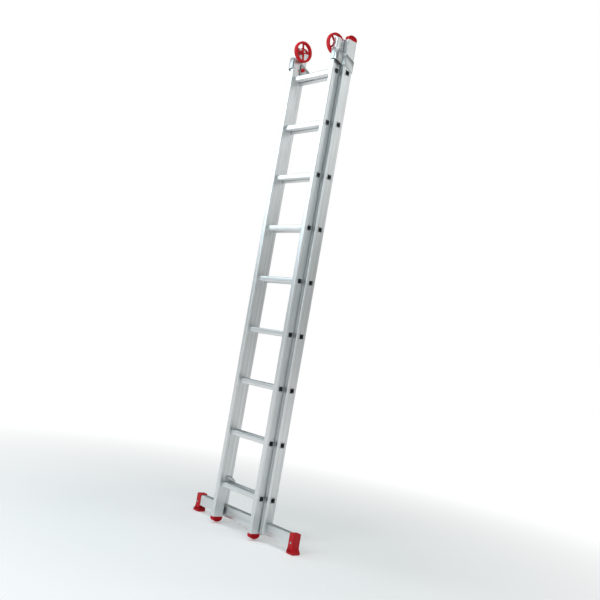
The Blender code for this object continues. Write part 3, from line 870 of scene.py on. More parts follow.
@dataclass
class Section:
    """One ladder section's stiles and rungs."""

    prefix: str
    shop: Shop
    rung_side: float = 0.028
    rung_corner: float = 0.004
    rung_wall: float = 0.0018
    rib_height: float = 0.0005
    rib_width: float = 0.0013
    ribs: int = 6
    rib_pitch: float = 0.0031
    rim_thickness: float = 0.0015
    stile_corner: float = 0.0035
    stile_wall: float = 0.002
    fit: float = 0.0003

    def rung_nodes(self) -> list[str]:
        """This section's rungs, from the lowest up."""
        names = [name for name in frame["nodes"] if name.startswith(f"{self.prefix}_rung_")]
        return sorted(names, key=lambda name: int(name.rsplit("_", 1)[1]))

    def ribbed_tube(self, length: float) -> Form:
        """A square tube along X with anti-slip ribs on its tread and its underside.

        Args:
            length: Its length.

        Returns:
            The form, about the origin.
        """
        side = self.rung_side - 2 * self.rib_height
        form = Form.tube(side, self.rung_side, length, self.rung_corner, self.rung_wall, 4)
        first = -(self.ribs - 1) / 2 * self.rib_pitch
        rows = [first + index * self.rib_pitch for index in range(self.ribs)]
        half = self.rib_width / 2
        form.slice(1, [row + turn * half for row in rows for turn in (-1, 1)])
        for sign in (-1, 1):
            strips = form.faces(
                lambda centre, normal: normal.x * sign > 0.99
                and centre.x * sign > side / 2 - self.rung_wall / 2
                and any(abs(centre.y - row) < half for row in rows)
            )
            form.push(strips, (sign * self.rib_height, 0, 0))
        return form.move(z=-length / 2).lay_along_x()

    def rim(self, side: float) -> Form:
        """A rung's flared end, its flat back on Z = 0."""
        radius = self.rung_corner + (side - self.rung_side) / 2
        bore = self.rung_side - 2 * self.rung_wall
        wall = (side - bore) / 2
        form = Form.tube(side, side, self.rim_thickness, radius, wall, 6)
        return form.soften(self.rim_thickness * 0.42, 3, 60)

    def rungs(self) -> None:
        """Make the rungs."""
        for node in self.rung_nodes():
            box = Box.of(node)
            length = box.size.x - self.rim_thickness
            form = self.ribbed_tube(length)
            for sign in (-1, 1):
                seat = sign * (box.size.x / 2 - self.rim_thickness)
                form.add(self.rim(box.size.z).lay_along_x(sign).move(x=seat))
            form.move(*box.centre)
            self.shop.finish(form, node, Finish.PROFILE, "X")

    def rung_holes(self, stile: Box) -> Form:
        """The square holes through a stile."""
        side = self.rung_side + 2 * self.fit
        holes = Form()
        for node in self.rung_nodes():
            centre = Box.of(node).centre
            hole = Form.block(side, side, stile.size.x * 2, self.rung_corner, 4)
            hole.lay_along_x().move(stile.centre.x - stile.size.x, centre.y, centre.z)
            holes.add(hole)
        return holes

    def stile(self, side: Side, cutters: Sequence[Form]) -> None:
        """Make a stile.

        Args:
            side: Which side it stands on.
            cutters: What else is cut out of it.
        """
        node = f"{self.prefix}_stile_{side.word}"
        box = Box.of(node)
        form = Form.tube(
            box.size.x, box.size.y, box.size.z, self.stile_corner, self.stile_wall, 6
        )
        form.move(box.centre.x, box.centre.y, box.low.z)
        form.cut(self.rung_holes(box))
        for cutter in cutters:
            form.cut(cutter)
        self.shop.finish(form, node, Finish.PROFILE, "Z")


@dataclass
class EndCap:
    """A moulded cap with an arched crown and ribbed pockets in its sides."""

    shop: Shop
    skirt: float = 0.010
    plug: float = 0.022
    pockets: int = 5
    rib: float = 0.0022
    pocket_depth: float = 0.0032
    wall: float = 0.0023
    edge: float = 0.0011

    def form(self, width: float, depth: float, crown: float) -> Form:
        """The cap with its crown up and its skirt's foot on Z = 0.

        Args:
            width: Its size along X.
            depth: Its size along Y.
            crown: Its height in the middle.

        Returns:
            The form.
        """
        half = depth / 2
        steps = 20
        outline = [(-half, 0.0)]
        for step in range(steps + 1):
            angle = math.pi * (1 - step / steps)
            height = self.skirt + (crown - self.skirt) * math.sin(angle)
            outline.append((half * math.cos(angle), height))
        outline.append((half, 0.0))
        form = Form.cheek(outline, width)
        form.soften(self.edge, 3, 60)
        pitch = (depth - 8 * self.edge) / self.pockets
        edges = [(index - self.pockets / 2) * pitch for index in range(self.pockets + 1)]
        form.slice(1, edges)
        form.slice(2, [self.skirt * 0.55])
        cells = form.faces(
            lambda centre, normal: abs(normal.x) > 0.99
            and abs(centre.y) < edges[-1]
            and centre.z > self.skirt * 0.55
        )
        form.emboss(cells, self.rib / 2, -self.pocket_depth)
        stem = Form.block(
            width - 2 * self.wall, depth - 2 * self.wall, self.plug + self.skirt / 2, self.edge, 3
        )
        return form.join(stem.move(z=-self.plug))

    def make(self, node: str, upwards: bool) -> None:
        """Make the cap of a node.

        Args:
            node: The node that it replaces.
            upwards: True where the crown points up.
        """
        box = Box.of(node)
        form = self.form(box.size.x, box.size.y, box.size.z - self.plug)
        if not upwards:
            form.rotate(180, "X")
        seat = box.low.z + self.plug if upwards else box.high.z - self.plug
        form.move(box.centre.x, box.centre.y, seat)
        self.shop.finish(form, node, Finish.RED)


@dataclass
class Wheel:
    """A four-spoke wall wheel and the pin that it turns on."""

    shop: Shop
    rim: float = 0.0125
    spokes: int = 4
    spoke_width: float = 0.0095
    spoke_thickness: float = 0.0075
    hub: float = 0.012
    bore: float = 0.0043
    pin: float = 0.004
    pin_head: float = 0.0064
    pin_head_height: float = 0.003
    fit: float = 0.0003
    standoff: float = 0.009
    rim_inner_chamfer: float = 0.0012
    shoulder_share: float = 0.32
    tyre_groove: float = 0.0007
    groove_places: tuple[float, float] = (-0.3, 0.3)
    spoke_edge: float = 0.0016
    spoke_cuts: tuple[float, float] = (0.22, 0.78)
    spoke_flare: float = 0.35
    hub_edge: float = 0.0012
    sleeve_share: float = 0.88
    collar_share: float = 0.8
    turns: dict[Side, float] = field(default_factory=lambda: {Side.LEFT: 11.0, Side.RIGHT: 43.0})

    def make(self, side: Side) -> None:
        """Make the wheel and the pin of one side."""
        node = f"wall_wheel_{side.word}"
        box = Box.of(node)
        radius = box.size.z / 2
        sign = side.value
        stile = Box.of(f"fly_stile_{side.word}")
        pin_box = Box.of(f"wheel_axle_{side.word}")
        inner_end = box.inner_x(side)
        width = 2 * abs(self.middle_x(side) - inner_end)
        form = self.tyre(radius, width)
        for index in range(self.spokes):
            form.join(self.spoke(radius).rotate(360 / self.spokes * index, "Z"))
        form.join(self.hub_sleeve(width, abs(box.outer_x(side) - self.middle_x(side))))
        form.cut(Form.rod(self.bore, -width, width * 2, 40))
        form.lay_along_x(sign).rotate(self.turns[side], "X")
        form.move(self.middle_x(side), box.centre.y, box.centre.z)
        self.shop.finish(form, node, Finish.RED)

        pin = Fastener(self.pin, self.pin_head, self.pin_head_height)
        seat = inner_end - sign * 2 * self.fit
        length = abs(stile.outer_x(side) - seat) + self.fit
        form = pin.form(length, self.pin_head * self.collar_share)
        form.lay_along_x(-sign).move(seat, pin_box.centre.y, pin_box.centre.z)
        self.shop.finish(form, f"wheel_axle_{side.word}", Finish.STEEL)

    def middle_x(self, side: Side) -> float:
        """The middle of the rim, whose outer side keeps a standoff from the stile."""
        box = Box.of(f"wall_wheel_{side.word}")
        stile = Box.of(f"fly_stile_{side.word}")
        outer = stile.inner_x(side) - side.value * self.standoff
        return (outer + box.inner_x(side)) / 2

    def tyre(self, radius: float, width: float) -> Form:
        """The rim with rounded shoulders and two shallow running grooves, about Z."""
        half = width / 2
        inner = radius - self.rim
        shoulder = self.rim * self.shoulder_share
        groove = self.tyre_groove
        profile = [
            (inner + self.rim_inner_chamfer, -half * 0.72),
            (inner + self.rim * 0.25, -half),
            (radius - shoulder, -half),
            (radius - shoulder * 0.3, -half + shoulder * 0.3),
            (radius, -half + shoulder),
        ]
        for place in self.groove_places:
            centre = place * half
            profile += [
                (radius, centre - 2 * groove),
                (radius - groove, centre - groove),
                (radius - groove, centre + groove),
                (radius, centre + 2 * groove),
            ]
        profile += [
            (radius, half - shoulder),
            (radius - shoulder * 0.3, half - shoulder * 0.3),
            (radius - shoulder, half),
            (inner + self.rim * 0.25, half),
            (inner + self.rim_inner_chamfer, half * 0.72),
            (inner, half * 0.45),
            (inner, -half * 0.45),
        ]
        return Form.turned(profile, 72, ring=True)

    def spoke(self, radius: float) -> Form:
        """One spoke from the hub into the rim, wider at both roots, along +X."""
        length = radius - self.rim * 0.5 - self.hub * 0.5
        form = Form.block(self.spoke_thickness, self.spoke_width, length, self.spoke_edge, 3)
        form.slice(2, [length * cut for cut in self.spoke_cuts])
        for vert in form.mesh.verts:
            share = abs(vert.co.z / length - 0.5) * 2
            grown = 1.0 + self.spoke_flare * max(0.0, share - 0.5) * 2
            vert.co.y *= grown
        return form.move(z=self.hub * 0.5).lay_along_x()

    def hub_sleeve(self, width: float, reach: float) -> Form:
        """The hub, with a sleeve towards the stile, about Z."""
        half = width / 2
        round_off = self.hub_edge
        sleeve = self.hub * self.sleeve_share
        profile = [
            (0, -half),
            (self.hub - round_off, -half),
            (self.hub, -half + round_off),
            (self.hub, half * 0.8),
            (sleeve, half),
            (sleeve, reach - round_off),
            (sleeve - round_off, reach),
            (0, reach),
        ]
        return Form.turned(profile, 48)


@dataclass
class Stabiliser:
    """The bar across the ladder's foot with its shoes, screws and bolts."""

    shop: Shop
    corner: float = 0.005
    wall: float = 0.002
    fit: float = 0.0003
    chamfer: float = 0.006
    flare_top: float = 0.030
    flare_foot: float = 0.012
    flare_in: float = 0.003
    flare_out: float = 0.012
    flare_depth: float = 0.003
    sole_bevel: float = 0.005
    top_edge: float = 0.0009
    top_bevel: float = 0.003
    screw_hole_reach: float = 0.03
    pocket_length: float = 0.08
    tread_width: float = 0.0022
    tread_pitch: float = 0.0065
    tread_depth: float = 0.0014
    tread_rows: int = 6
    screw: Fastener = field(default_factory=lambda: Fastener(0.0025, 0.005, 0.0025))
    bolt: Fastener = field(default_factory=lambda: Fastener(0.004, 0.0068, 0.004))

    def notch(self) -> Form:
        """What the bar takes out of the base stiles, open to the rear and below."""
        box = Box.of("stabiliser_bar")
        size = box.size
        form = Form.block(size.x, size.y * 2, size.z * 2)
        top = box.high.z + self.fit
        return form.move(0, box.low.y - self.fit + size.y, top - size.z * 2)

    def bolt_hole(self, side: Side) -> Form:
        """The hole for one bar bolt, along Y."""
        box = Box.of(f"bar_bolt_{side.word}")
        reach = box.size.y * 2
        form = Form.rod(self.bolt.shank + self.fit, -reach, reach, 32)
        return form.lay_along_y().move(*box.centre)

    def bar(self) -> None:
        """Make the bar with its bolts."""
        box = Box.of("stabiliser_bar")
        form = Form.tube(box.size.z, box.size.y, box.size.x, self.corner, self.wall, 7)
        form.move(z=-box.size.x / 2).lay_along_x().move(*box.centre)
        for side in Side:
            form.cut(self.bolt_hole(side))
        self.shop.finish(form, "stabiliser_bar", Finish.PROFILE, "X")
        for side in Side:
            node = f"bar_bolt_{side.word}"
            bolt = Box.of(node)
            length = bolt.size.y - self.bolt.head_height
            form = self.bolt.form(length).lay_along_y()
            form.move(bolt.centre.x, bolt.high.y - self.bolt.head_height, bolt.centre.z)
            self.shop.finish(form, node, Finish.STEEL)

    def shoe(self, side: Side) -> None:
        """Make one shoe and its screw."""
        node = f"bar_shoe_{side.word}"
        box = Box.of(node)
        sign = side.value
        outer = abs(box.outer_x(side)) - self.flare_out
        inner = abs(box.inner_x(side)) + self.flare_in
        depth = box.size.y - 2 * self.flare_depth
        top = box.high.z
        levels = (
            (0.0, 1.0, self.sole_bevel),
            (self.sole_bevel * 0.35, 1.0, self.sole_bevel * 0.3),
            (self.sole_bevel, 1.0, 0.0),
            (self.flare_foot, 0.95, 0.0),
            ((self.flare_foot + self.flare_top) / 2, 0.4, 0.0),
            (self.flare_top, 0.08, 0.0),
            (self.flare_top * 1.2, 0.0, 0.0),
            (top - self.top_bevel, 0.0, 0.0),
            (top - self.top_edge, 0.0, self.top_edge),
            (top, 0.0, self.top_bevel),
        )
        form: Form | None = None
        last = (0.0, 1.0, 1.0, 0.0)
        for height, spread, bevel in levels:
            high_x = outer + spread * self.flare_out - bevel
            low_x = inner - spread * self.flare_in + bevel
            width = high_x - low_x
            deep = depth + 2 * spread * self.flare_depth - 2 * bevel
            middle = (high_x + low_x) / 2
            if form is None:
                form = Form.plate(width, deep, self.chamfer, 2).move(middle)
                tip = form.mesh.faces[:]
            else:
                tip = form.push(tip, (0, 0, height - last[0]))
                points = list({vert for face in tip for vert in face.verts})
                centre = Vector((last[3], 0, height))
                space = Matrix.Translation(-centre)
                bmesh.ops.scale(
                    form.mesh, vec=(width / last[1], deep / last[2], 1), verts=points, space=space
                )
                bmesh.ops.translate(form.mesh, vec=(middle - last[3], 0, 0), verts=points)
            last = (height, width, deep, middle)
        self.tread(form)
        if side is Side.LEFT:
            form.mirror_x()
        form.move(y=box.centre.y)
        form.cut(self.pocket(side))
        screw_box = Box.of(f"shoe_screw_{side.word}")
        reach = self.screw_hole_reach
        hole = Form.rod(self.screw.shank + self.fit, -reach, reach, 24).lay_along_y()
        form.cut(hole.move(screw_box.centre.x, screw_box.low.y, screw_box.centre.z))
        self.shop.finish(form, node, Finish.RED, smooth=24)
        length = screw_box.size.y - self.screw.head_height
        form = self.screw.form(length).lay_along_y(-1)
        seat = screw_box.low.y + self.screw.head_height
        form.move(screw_box.centre.x, seat, screw_box.centre.z)
        self.shop.finish(form, f"shoe_screw_{side.word}", Finish.STEEL)
        LOG.info("shoe %s reaches x = %.3f", side.word, sign * (outer + self.flare_out))

    def tread(self, form: Form) -> None:
        """Sink grooves into a shoe's sole."""
        groove = self.tread_width
        middle = (self.tread_rows - 1) / 2
        rows = [(index - middle) * self.tread_pitch for index in range(self.tread_rows)]
        form.slice(1, [row + turn * groove / 2 for row in rows for turn in (-1, 1)])
        strips = form.faces(
            lambda centre, normal: normal.z < -0.99
            and centre.z < 1e-5
            and any(abs(centre.y - row) < groove / 2 for row in rows)
        )
        form.emboss(strips, groove * 0.2, -self.tread_depth)

    def pocket(self, side: Side) -> Form:
        """The hollow that takes the bar's end."""
        bar = Box.of("stabiliser_bar")
        extra = self.fit
        length = self.pocket_length
        width = bar.size.z + 2 * extra
        depth = bar.size.y + 2 * extra
        form = Form.block(width, depth, length, self.corner + extra, 6)
        form.lay_along_x()
        end = bar.high.x + extra
        start = end - length if side is Side.RIGHT else -end
        return form.move(start, bar.centre.y, bar.centre.z)


@dataclass
class GuideBracket:
    """A strip bent round both stiles, with its liner, its bolt and its clamp knob."""

    shop: Shop
    thickness: float = 0.003
    slope: float = 0.4
    corner: float = 0.020
    bend: float = 0.0042
    fit: float = 0.0003
    liner_gap: float = 0.0007
    liner_corner: float = 0.0015
    liner_edge: float = 0.0006
    strip_edge: float = 0.0005
    clamp_hole_span: tuple[float, float] = (-0.004, 0.012)
    bolt_hole_span: tuple[float, float] = (-0.006, 0.012)
    knob_dip: float = 0.07
    knob_rim: float = 0.75
    knob_bore: float = 0.7
    knob_lobes: int = 8
    screw_radius: float = 0.003
    bolt: Fastener = field(default_factory=lambda: Fastener(0.003, 0.0048, 0.003))

    def outer_path(self) -> tuple[list[Point], Box]:
        """Plan corners of the strip's outer surface on the right side, and its box."""
        box = Box.of("guide_bracket_right")
        base = Box.of("base_stile_right")
        fly = Box.of("fly_stile_right")
        liner = Box.of("guide_liner_right")
        side_x = liner.high.x + self.fit + self.thickness
        step_y = base.low.y - self.fit - self.thickness
        knob = Box.of("clamp_knob_right")
        points = [
            (fly.low.x + self.thickness, box.low.y),
            (side_x, box.low.y),
            (side_x, step_y),
            (box.high.x, step_y),
            (box.high.x, box.high.y),
            (box.low.x, box.high.y),
            (box.low.x, knob.low.y),
        ]
        return points, box

    def bent_strip(self, points: Sequence[Point], height: float, thickness: float) -> Form:
        """Stand a bent strip on Z = 0.

        Args:
            points: Plan corners of its outer surface, the inside on the left of the way.
            height: Its height.
            thickness: Its thickness.

        Returns:
            The form.
        """
        form = Form()
        verts = [form.mesh.verts.new((x, y, 0)) for x, y in points]
        for pair in zip(verts, verts[1:]):
            form.mesh.edges.new(pair)
        bends = ((self.corner, verts[1:2], 10), (self.bend, verts[2:-1], 5))
        for radius, chosen, segments in bends:
            form.round_corners(chosen, radius, segments)
        made = bmesh.ops.extrude_edge_only(form.mesh, edges=form.mesh.edges[:])["geom"]
        raised = [item for item in made if isinstance(item, bmesh.types.BMVert)]
        bmesh.ops.translate(form.mesh, vec=(0, 0, height), verts=raised)
        bmesh.ops.recalc_face_normals(form.mesh, faces=form.mesh.faces)
        first = form.faces(lambda centre, normal: centre.y < points[0][1] + 1e-5)[0]
        if first.normal.y > 0:
            bmesh.ops.reverse_faces(form.mesh, faces=form.mesh.faces)
        bmesh.ops.solidify(form.mesh, geom=form.mesh.faces[:], thickness=thickness)
        return form

    def lean(self, form: Form, side: Side, foot: float) -> Form:
        """Shear a form down towards the rear, put its foot on a slope and pick its side."""
        shear = Matrix.Identity(4)
        shear[2][1] = -self.slope
        form.transform(shear).move(z=foot)
        return form.mirror_x() if side is Side.LEFT else form

    def make(self, side: Side) -> None:
        """Make everything on one side."""
        points, box = self.outer_path()
        fall = self.slope * box.size.y
        height = box.size.z - fall
        foot = box.low.z + self.slope * box.high.y
        form = self.bent_strip(points, height, self.thickness)
        form.soften(self.strip_edge, 2, 70)
        self.lean(form, side, foot)
        sign = side.value
        knob = Box.of(f"clamp_knob_{side.word}")
        bolt = Box.of(f"bracket_bolt_{side.word}")
        clamp_hole = Form.rod(self.screw_radius + self.fit, *self.clamp_hole_span, 28)
        clamp_hole.lay_along_x(sign).move(knob.outer_x(side), knob.centre.y, knob.centre.z)
        form.cut(clamp_hole)
        bolt_hole = Form.rod(self.bolt.shank + self.fit, *self.bolt_hole_span, 28)
        form.cut(bolt_hole.lay_along_y().move(bolt.centre.x, bolt.low.y, bolt.centre.z))
        self.shop.finish(form, f"guide_bracket_{side.word}", Finish.STRIP)
        self.make_liner(side)
        self.make_knob(side)
        form = self.bolt.form(bolt.size.y - self.bolt.head_height).lay_along_y(-1)
        form.move(bolt.centre.x, bolt.low.y + self.bolt.head_height, bolt.centre.z)
        self.shop.finish(form, f"bracket_bolt_{side.word}", Finish.STEEL)

    def make_liner(self, side: Side) -> None:
        """Make the plastic between the strip and the fly stile."""
        box = Box.of("guide_liner_right")
        fly = Box.of("fly_stile_right")
        rung_end = Box.of("fly_rung_1").high.x
        form = Form()
        corners = [
            (box.low.x, box.low.y),
            (box.high.x, box.low.y),
            (box.high.x, box.high.y),
            (rung_end + self.liner_gap, box.high.y),
            (rung_end + self.liner_gap, fly.low.y - self.liner_gap),
            (box.low.x, fly.low.y - self.liner_gap),
        ]
        verts = [form.mesh.verts.new((x, y, 0)) for x, y in corners]
        form.mesh.faces.new(verts)
        for radius, chosen in (
            (self.corner - self.thickness - self.fit, verts[1:2]),
            (self.liner_corner, verts[3:4]),
        ):
            form.round_corners(chosen, radius, 8)
        height = box.size.z - self.slope * box.size.y
        form.push(form.mesh.faces[:], (0, 0, height))
        form.soften(self.liner_edge, 2, 60)
        self.lean(form, side, box.low.z + self.slope * box.high.y)
        self.shop.finish(form, f"guide_liner_{side.word}", Finish.BLACK)

    def make_knob(self, side: Side) -> None:
        """Make the clamp knob and its screw."""
        node = f"clamp_knob_{side.word}"
        box = Box.of(node)
        radius = box.size.z / 2
        length = box.size.x
        profile = [
            (0, 0),
            (radius * 0.82, 0),
            (radius * 0.86, length * 0.08),
            (radius * 0.97, length * 0.2),
            (radius, length * 0.3),
            (radius, length * 0.72),
            (radius * 0.95, length * 0.88),
            (radius * 0.84, length * 0.97),
            (radius * 0.7, length),
            (radius * 0.52, length),
            (radius * 0.42, length * 0.93),
            (0, length * 0.93),
        ]
        form = Form.turned(profile, self.knob_lobes * 10)
        for vert in form.mesh.verts:
            reach = math.hypot(vert.co.x, vert.co.y)
            if reach > radius * self.knob_rim:
                angle = math.atan2(vert.co.y, vert.co.x)
                dip = 0.5 - 0.5 * math.cos(self.knob_lobes * angle)
                vert.co.xy *= 1 - self.knob_dip * dip**2
        sign = side.value
        seat = box.outer_x(side)
        form.lay_along_x(-sign).move(seat, box.centre.y, box.centre.z)
        depth = length * self.knob_bore + self.fit
        hole = Form.rod(self.screw_radius + self.fit, self.clamp_hole_span[0], depth, 28)
        form.cut(hole.lay_along_x(-sign).move(seat, box.centre.y, box.centre.z))
        self.shop.finish(form, node, Finish.RED)

        node = f"clamp_screw_{side.word}"
        box = Box.of(node)
        form = self.threaded(box.size.x, self.screw_radius)
        form.lay_along_x(sign).move(box.inner_x(side), box.centre.y, box.centre.z)
        self.shop.finish(form, node, Finish.STEEL)

    @staticmethod
    def threaded(length: float, radius: float) -> Form:
        """A screw along +Z from 0 with thread crests and a rounded tip."""
        pitch = 0.001
        depth = 0.00045
        turns = int(length / pitch) - 1
        profile = [(0.0, 0.0), (radius - depth, 0.0)]
        for index in range(turns):
            start = index * pitch
            profile += [(radius - depth, start + pitch * 0.1), (radius, start + pitch * 0.5)]
        profile += [
            (radius - depth, turns * pitch),
            (radius * 0.7, length - radius * 0.1),
            (radius * 0.4, length),
            (0.0, length),
        ]
        return Form.turned(profile, 28)


@dataclass
class CatchHook:
    """A stamped catch on the fly's foot and the pin that it swings on."""

    shop: Shop
    pivot_radius: float = 0.004
    pivot_head: float = 0.0064
    plate: float = 0.005
    fit: float = 0.0003
    eye: float = 0.012
    rung: float = 0.028
    over_rung: float = 0.020
    setback: float = 0.0165
    nose: float = 0.0085
    nose_drop: float = 0.012
    nose_gap: float = 0.001
    roof_gap: float = 0.0005
    edge: float = 0.0007
    eye_start: float = 60
    eye_span: float = 210
    hole_reach: float = 0.01
    slot: tuple[float, float, float] = (0.006, 0.010, 0.02)
    slot_corner: float = 0.0029
    slot_place: float = 0.3
    slot_drop: float = 0.62
    rivet_dome: float = 0.7
    rivet_edge: float = 0.0006

    def pivot(self, side: Side) -> Vector:
        """The joint's centre on one side."""
        for joint in frame["joints"]:
            if joint["child"] == f"hook_{side.word}":
                return Vector(joint["pos_m"])
        raise ValueError(f"the {side.word} catch has no joint")

    def outline(self) -> list[Point]:
        """The plate's side outline about its pivot."""
        roof = self.roof_gap - self.over_rung
        nose = self.setback + self.rung + self.nose_gap
        tip = -self.over_rung - self.nose_drop
        mouth = self.setback - 2 * self.nose_gap
        points = []
        steps = 18
        for step in range(steps + 1):
            angle = math.radians(self.eye_start + self.eye_span * step / steps)
            points.append((self.eye * math.cos(angle), self.eye * math.sin(angle)))
        points += [
            (mouth - self.nose_gap, roof + self.eye / 3),
            (mouth, roof),
            (nose, roof),
            (nose, tip),
            (nose + self.nose / 2, tip - self.nose / 4 * 0.9),
            (nose + self.nose, tip + self.nose / 4),
            (nose + self.nose, roof + self.eye / 3),
            (mouth + self.nose / 2, self.eye * 0.8),
        ]
        return points

    def make(self, side: Side) -> None:
        """Make the catch and the pin of one side."""
        centre = self.pivot(side)
        form = Form.cheek(self.outline(), self.plate)
        form.soften(self.edge, 2, 60)
        reach = self.hole_reach
        form.cut(Form.rod(self.pivot_radius + self.fit, -reach, reach, 36).lay_along_x())
        slot_y = self.setback + self.rung * self.slot_place
        window = Form.block(*self.slot, self.slot_corner, 5)
        window.lay_along_x().move(-self.slot[2] / 2, slot_y, -self.eye * self.slot_drop)
        form.cut(window)
        form.move(*centre)
        self.shop.finish(form, f"catch_hook_{side.word}", Finish.STRIP)

        sign = side.value
        node = f"hook_pivot_{side.word}"
        box = Box.of(node)
        height = self.pivot_radius * self.rivet_dome
        seat = centre.x - sign * (self.plate / 2 + self.fit)
        far = abs(box.outer_x(side) - seat) - height
        pin = Fastener(self.pivot_radius, self.pivot_head, height, 0.4)
        form = Form.turned(self.rivet_profile(pin, far, box, side, seat), 32)
        form.lay_along_x(-sign).move(seat, centre.y, centre.z)
        self.shop.finish(form, node, Finish.STEEL)

    def rivet_profile(
        self, pin: Fastener, far: float, box: Box, side: Side, seat: float
    ) -> list[Point]:
        """A rivet's half outline, its domed head towards +Z from 0.

        Args:
            pin: The sizes.
            far: The grip's length; not used.
            box: The node's box.
            side: Its side.
            seat: The head's seat.

        Returns:
            Points as radius and height.
        """
        foot = -abs(box.outer_x(side) - seat)
        shoulder = foot + pin.shank / 2
        profile = [(0, foot), (pin.head * 0.75, foot), (pin.head, foot + self.rivet_edge)]
        profile += [(pin.head, shoulder), (pin.shank, shoulder), (pin.shank, 0.0), (pin.head, 0.0)]
        steps = 6
        for step in range(1, steps + 1):
            angle = math.pi / 2 * step / steps
            profile.append((pin.head * math.cos(angle), pin.head_height * math.sin(angle)))
        return profile


# Surroundings


COOL = (0.80, 0.93, 1.0)


@dataclass(frozen=True)
class SoftBox:
    """A rectangular lamp: where it hangs, what it faces, its size, watts and colour."""

    name: str
    place: tuple[float, float, float]
    aim: tuple[float, float, float]
    size: tuple[float, float]
    watts: float
    colour: tuple[float, float, float] = (1.0, 1.0, 1.0)

    def hang(self) -> None:
        """Hang the lamp in the scene."""
        data = bpy.data.lights.new(self.name, "AREA")
        data.shape = "RECTANGLE"
        data.size, data.size_y = self.size
        data.energy = self.watts
        data.color = self.colour
        light = bpy.data.objects.new(self.name, data)
        way = Vector(self.aim) - Vector(self.place)
        light.rotation_euler = way.to_track_quat("-Z", "Y").to_euler()
        light.location = self.place
        bpy.context.scene.collection.objects.link(light)


@dataclass
class Studio:
    """A pale floor, soft light and the camera."""

    camera_place: tuple[float, float, float] = (3.3490, -2.70935, 0.960)
    camera_right: tuple[float, float, float] = (0.6498, 0.7404, 0.1720)
    camera_down: tuple[float, float, float] = (0.0630, 0.1731, -0.9829)
    lens: float = 48.82
    floor_size: float = 60.0
    fade_start: float = 0.9
    fade_end: float = 3.2
    sensor_width: float = 36.0
    sight: float = 200.0
    sky_tint: tuple[float, float, float, float] = (0.90, 0.98, 0.95, 1.0)
    sky_strength: float = 0.24
    boxes: tuple[SoftBox, ...] = (
        SoftBox("key", (-3.4, -3.0, 3.5), (0.0, 0.0, 1.9), (2.4, 2.6), 56, COOL),
        SoftBox("front", (0.9, -4.6, 2.9), (0.0, 0.0, 1.7), (2.0, 2.4), 85, COOL),
        SoftBox("top", (0.6, -0.6, 5.2), (0.0, 0.0, 1.4), (3.0, 3.0), 90),
        SoftBox("rear", (3.4, 2.6, 3.4), (0.0, 0.0, 1.4), (1.6, 2.2), 14),
    )

    def camera(self) -> None:
        """Place the camera."""
        data = bpy.data.cameras.new("camera")
        data.lens = self.lens
        data.sensor_width = self.sensor_width
        data.clip_end = self.sight
        camera = bpy.data.objects.new("camera", data)
        right = Vector(self.camera_right).normalized()
        up = -Vector(self.camera_down)
        back = right.cross(up).normalized()
        up = back.cross(right)
        turn = Matrix((right, up, back)).transposed().to_4x4()
        camera.matrix_world = Matrix.Translation(self.camera_place) @ turn
        bpy.context.scene.collection.objects.link(camera)
        bpy.context.scene.camera = camera

    def floor(self) -> None:
        """Lay the floor."""
        form = Form.plate(self.floor_size, self.floor_size, 0)
        graph = Graph("pale_floor")
        cloud = graph.noise((0.8, 0.8, 0.8), 3.0)
        place = graph.node("ShaderNodeTexCoord", output="Object")
        length = graph.node("ShaderNodeVectorMath", {"operation": "LENGTH"}, {0: place}, "Value")
        far = length.band(self.fade_start, self.fade_end)
        near = graph.mix(cloud, (0.86, 0.865, 0.87, 1.0), (0.82, 0.825, 0.83, 1.0))
        colour = graph.mix(far, near, (0.0, 0.0, 0.0, 1.0))
        glow = graph.mix(far, (0.20, 0.20, 0.20, 1.0), (1.0, 1.0, 1.0, 1.0))
        mesh = bpy.data.meshes.new("floor")
        form.mesh.to_mesh(mesh)
        form.mesh.free()
        floor_finish = graph.shade(
            Base_Color=colour, Roughness=0.6, Emission_Color=glow, Emission_Strength=1.0
        )
        mesh.materials.append(floor_finish)
        floor = bpy.data.objects.new("floor", mesh)
        bpy.context.scene.collection.objects.link(floor)

    def sky(self) -> None:
        """Light evenly from all round, and show white behind the ladder."""
        world = bpy.data.worlds.new("studio")
        world.use_nodes = True
        tree = world.node_tree
        tree.nodes.clear()
        out = tree.nodes.new("ShaderNodeOutputWorld")
        mix = tree.nodes.new("ShaderNodeMixShader")
        seen = tree.nodes.new("ShaderNodeLightPath")
        soft = tree.nodes.new("ShaderNodeBackground")
        soft.inputs["Color"].default_value = self.sky_tint
        soft.inputs["Strength"].default_value = self.sky_strength
        white = tree.nodes.new("ShaderNodeBackground")
        white.inputs["Color"].default_value = (1.0, 1.0, 1.0, 1.0)
        white.inputs["Strength"].default_value = 1.0
        tree.links.new(seen.outputs["Is Camera Ray"], mix.inputs[0])
        tree.links.new(soft.outputs[0], mix.inputs[1])
        tree.links.new(white.outputs[0], mix.inputs[2])
        tree.links.new(mix.outputs[0], out.inputs["Surface"])
        bpy.context.scene.world = world

    def build(self) -> None:
        """Set everything up."""
        self.camera()
        self.floor()
        self.sky()
        for box in self.boxes:
            box.hang()
        bpy.context.scene.view_settings.view_transform = "Standard"


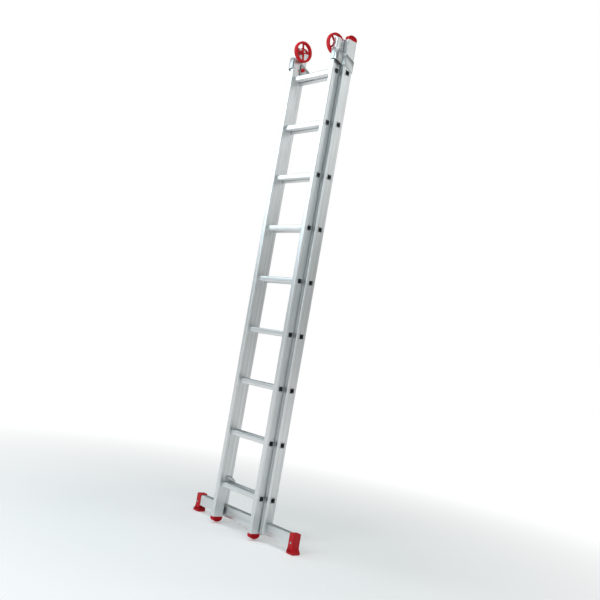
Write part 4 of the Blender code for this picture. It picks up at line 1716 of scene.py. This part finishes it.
@dataclass
class Ladder:
    """The whole ladder."""

    shop: Shop
    fit: float = 0.0003
    axle: float = 0.004
    bracket_bolt: float = 0.003
    axle_reach: float = 0.030
    pivot_reach: float = 0.006
    bolt_reach: float = 0.010

    def axle_hole(self, side: Side) -> Form:
        """The hole for a wheel's pin through the fly stile."""
        box = Box.of(f"wheel_axle_{side.word}")
        stile = Box.of(f"fly_stile_{side.word}")
        rod = Form.rod(self.axle + self.fit, -self.axle_reach, self.axle_reach, 32).lay_along_x()
        return rod.move(stile.centre.x, box.centre.y, box.centre.z)

    def pivot_hole(self, hook: CatchHook, side: Side) -> Form:
        """The hole for a catch's pin through the fly stile's inner wall."""
        centre = hook.pivot(side)
        stile = Box.of(f"fly_stile_{side.word}")
        reach = self.pivot_reach
        rod = Form.rod(hook.pivot_radius + self.fit, -reach, reach, 32).lay_along_x()
        return rod.move(stile.inner_x(side), centre.y, centre.z)

    def bracket_bolt_hole(self, side: Side) -> Form:
        """The hole for a bracket's bolt in the base stile's front wall."""
        box = Box.of(f"bracket_bolt_{side.word}")
        stile = Box.of(f"base_stile_{side.word}")
        reach = self.bolt_reach
        rod = Form.rod(self.bracket_bolt + self.fit, -reach, reach, 28).lay_along_y()
        return rod.move(box.centre.x, stile.low.y, box.centre.z)

    def build(self) -> None:
        """Make every piece."""
        base = Section("base", self.shop)
        fly = Section("fly", self.shop)
        bar = Stabiliser(self.shop)
        hook = CatchHook(self.shop)
        cap = EndCap(self.shop)
        wheel = Wheel(self.shop)
        bracket = GuideBracket(self.shop)
        for side in Side:
            base.stile(side, [bar.notch(), bar.bolt_hole(side), self.bracket_bolt_hole(side)])
            fly.stile(side, [self.axle_hole(side), self.pivot_hole(hook, side)])
            cap.make(f"base_top_cap_{side.word}", True)
            cap.make(f"fly_foot_{side.word}", False)
            wheel.make(side)
            bar.shoe(side)
            bracket.make(side)
            hook.make(side)
        base.rungs()
        fly.rungs()
        bar.bar()


def main() -> None:
    """Build the ladder and its surroundings."""
    logging.basicConfig(level=logging.INFO, format="%(message)s")
    shop = Shop(make_finishes())
    Studio().build()
    Ladder(shop).build()
    LOG.info("%d pieces finished", shop.made)


if __name__ == "__main__":
    main()
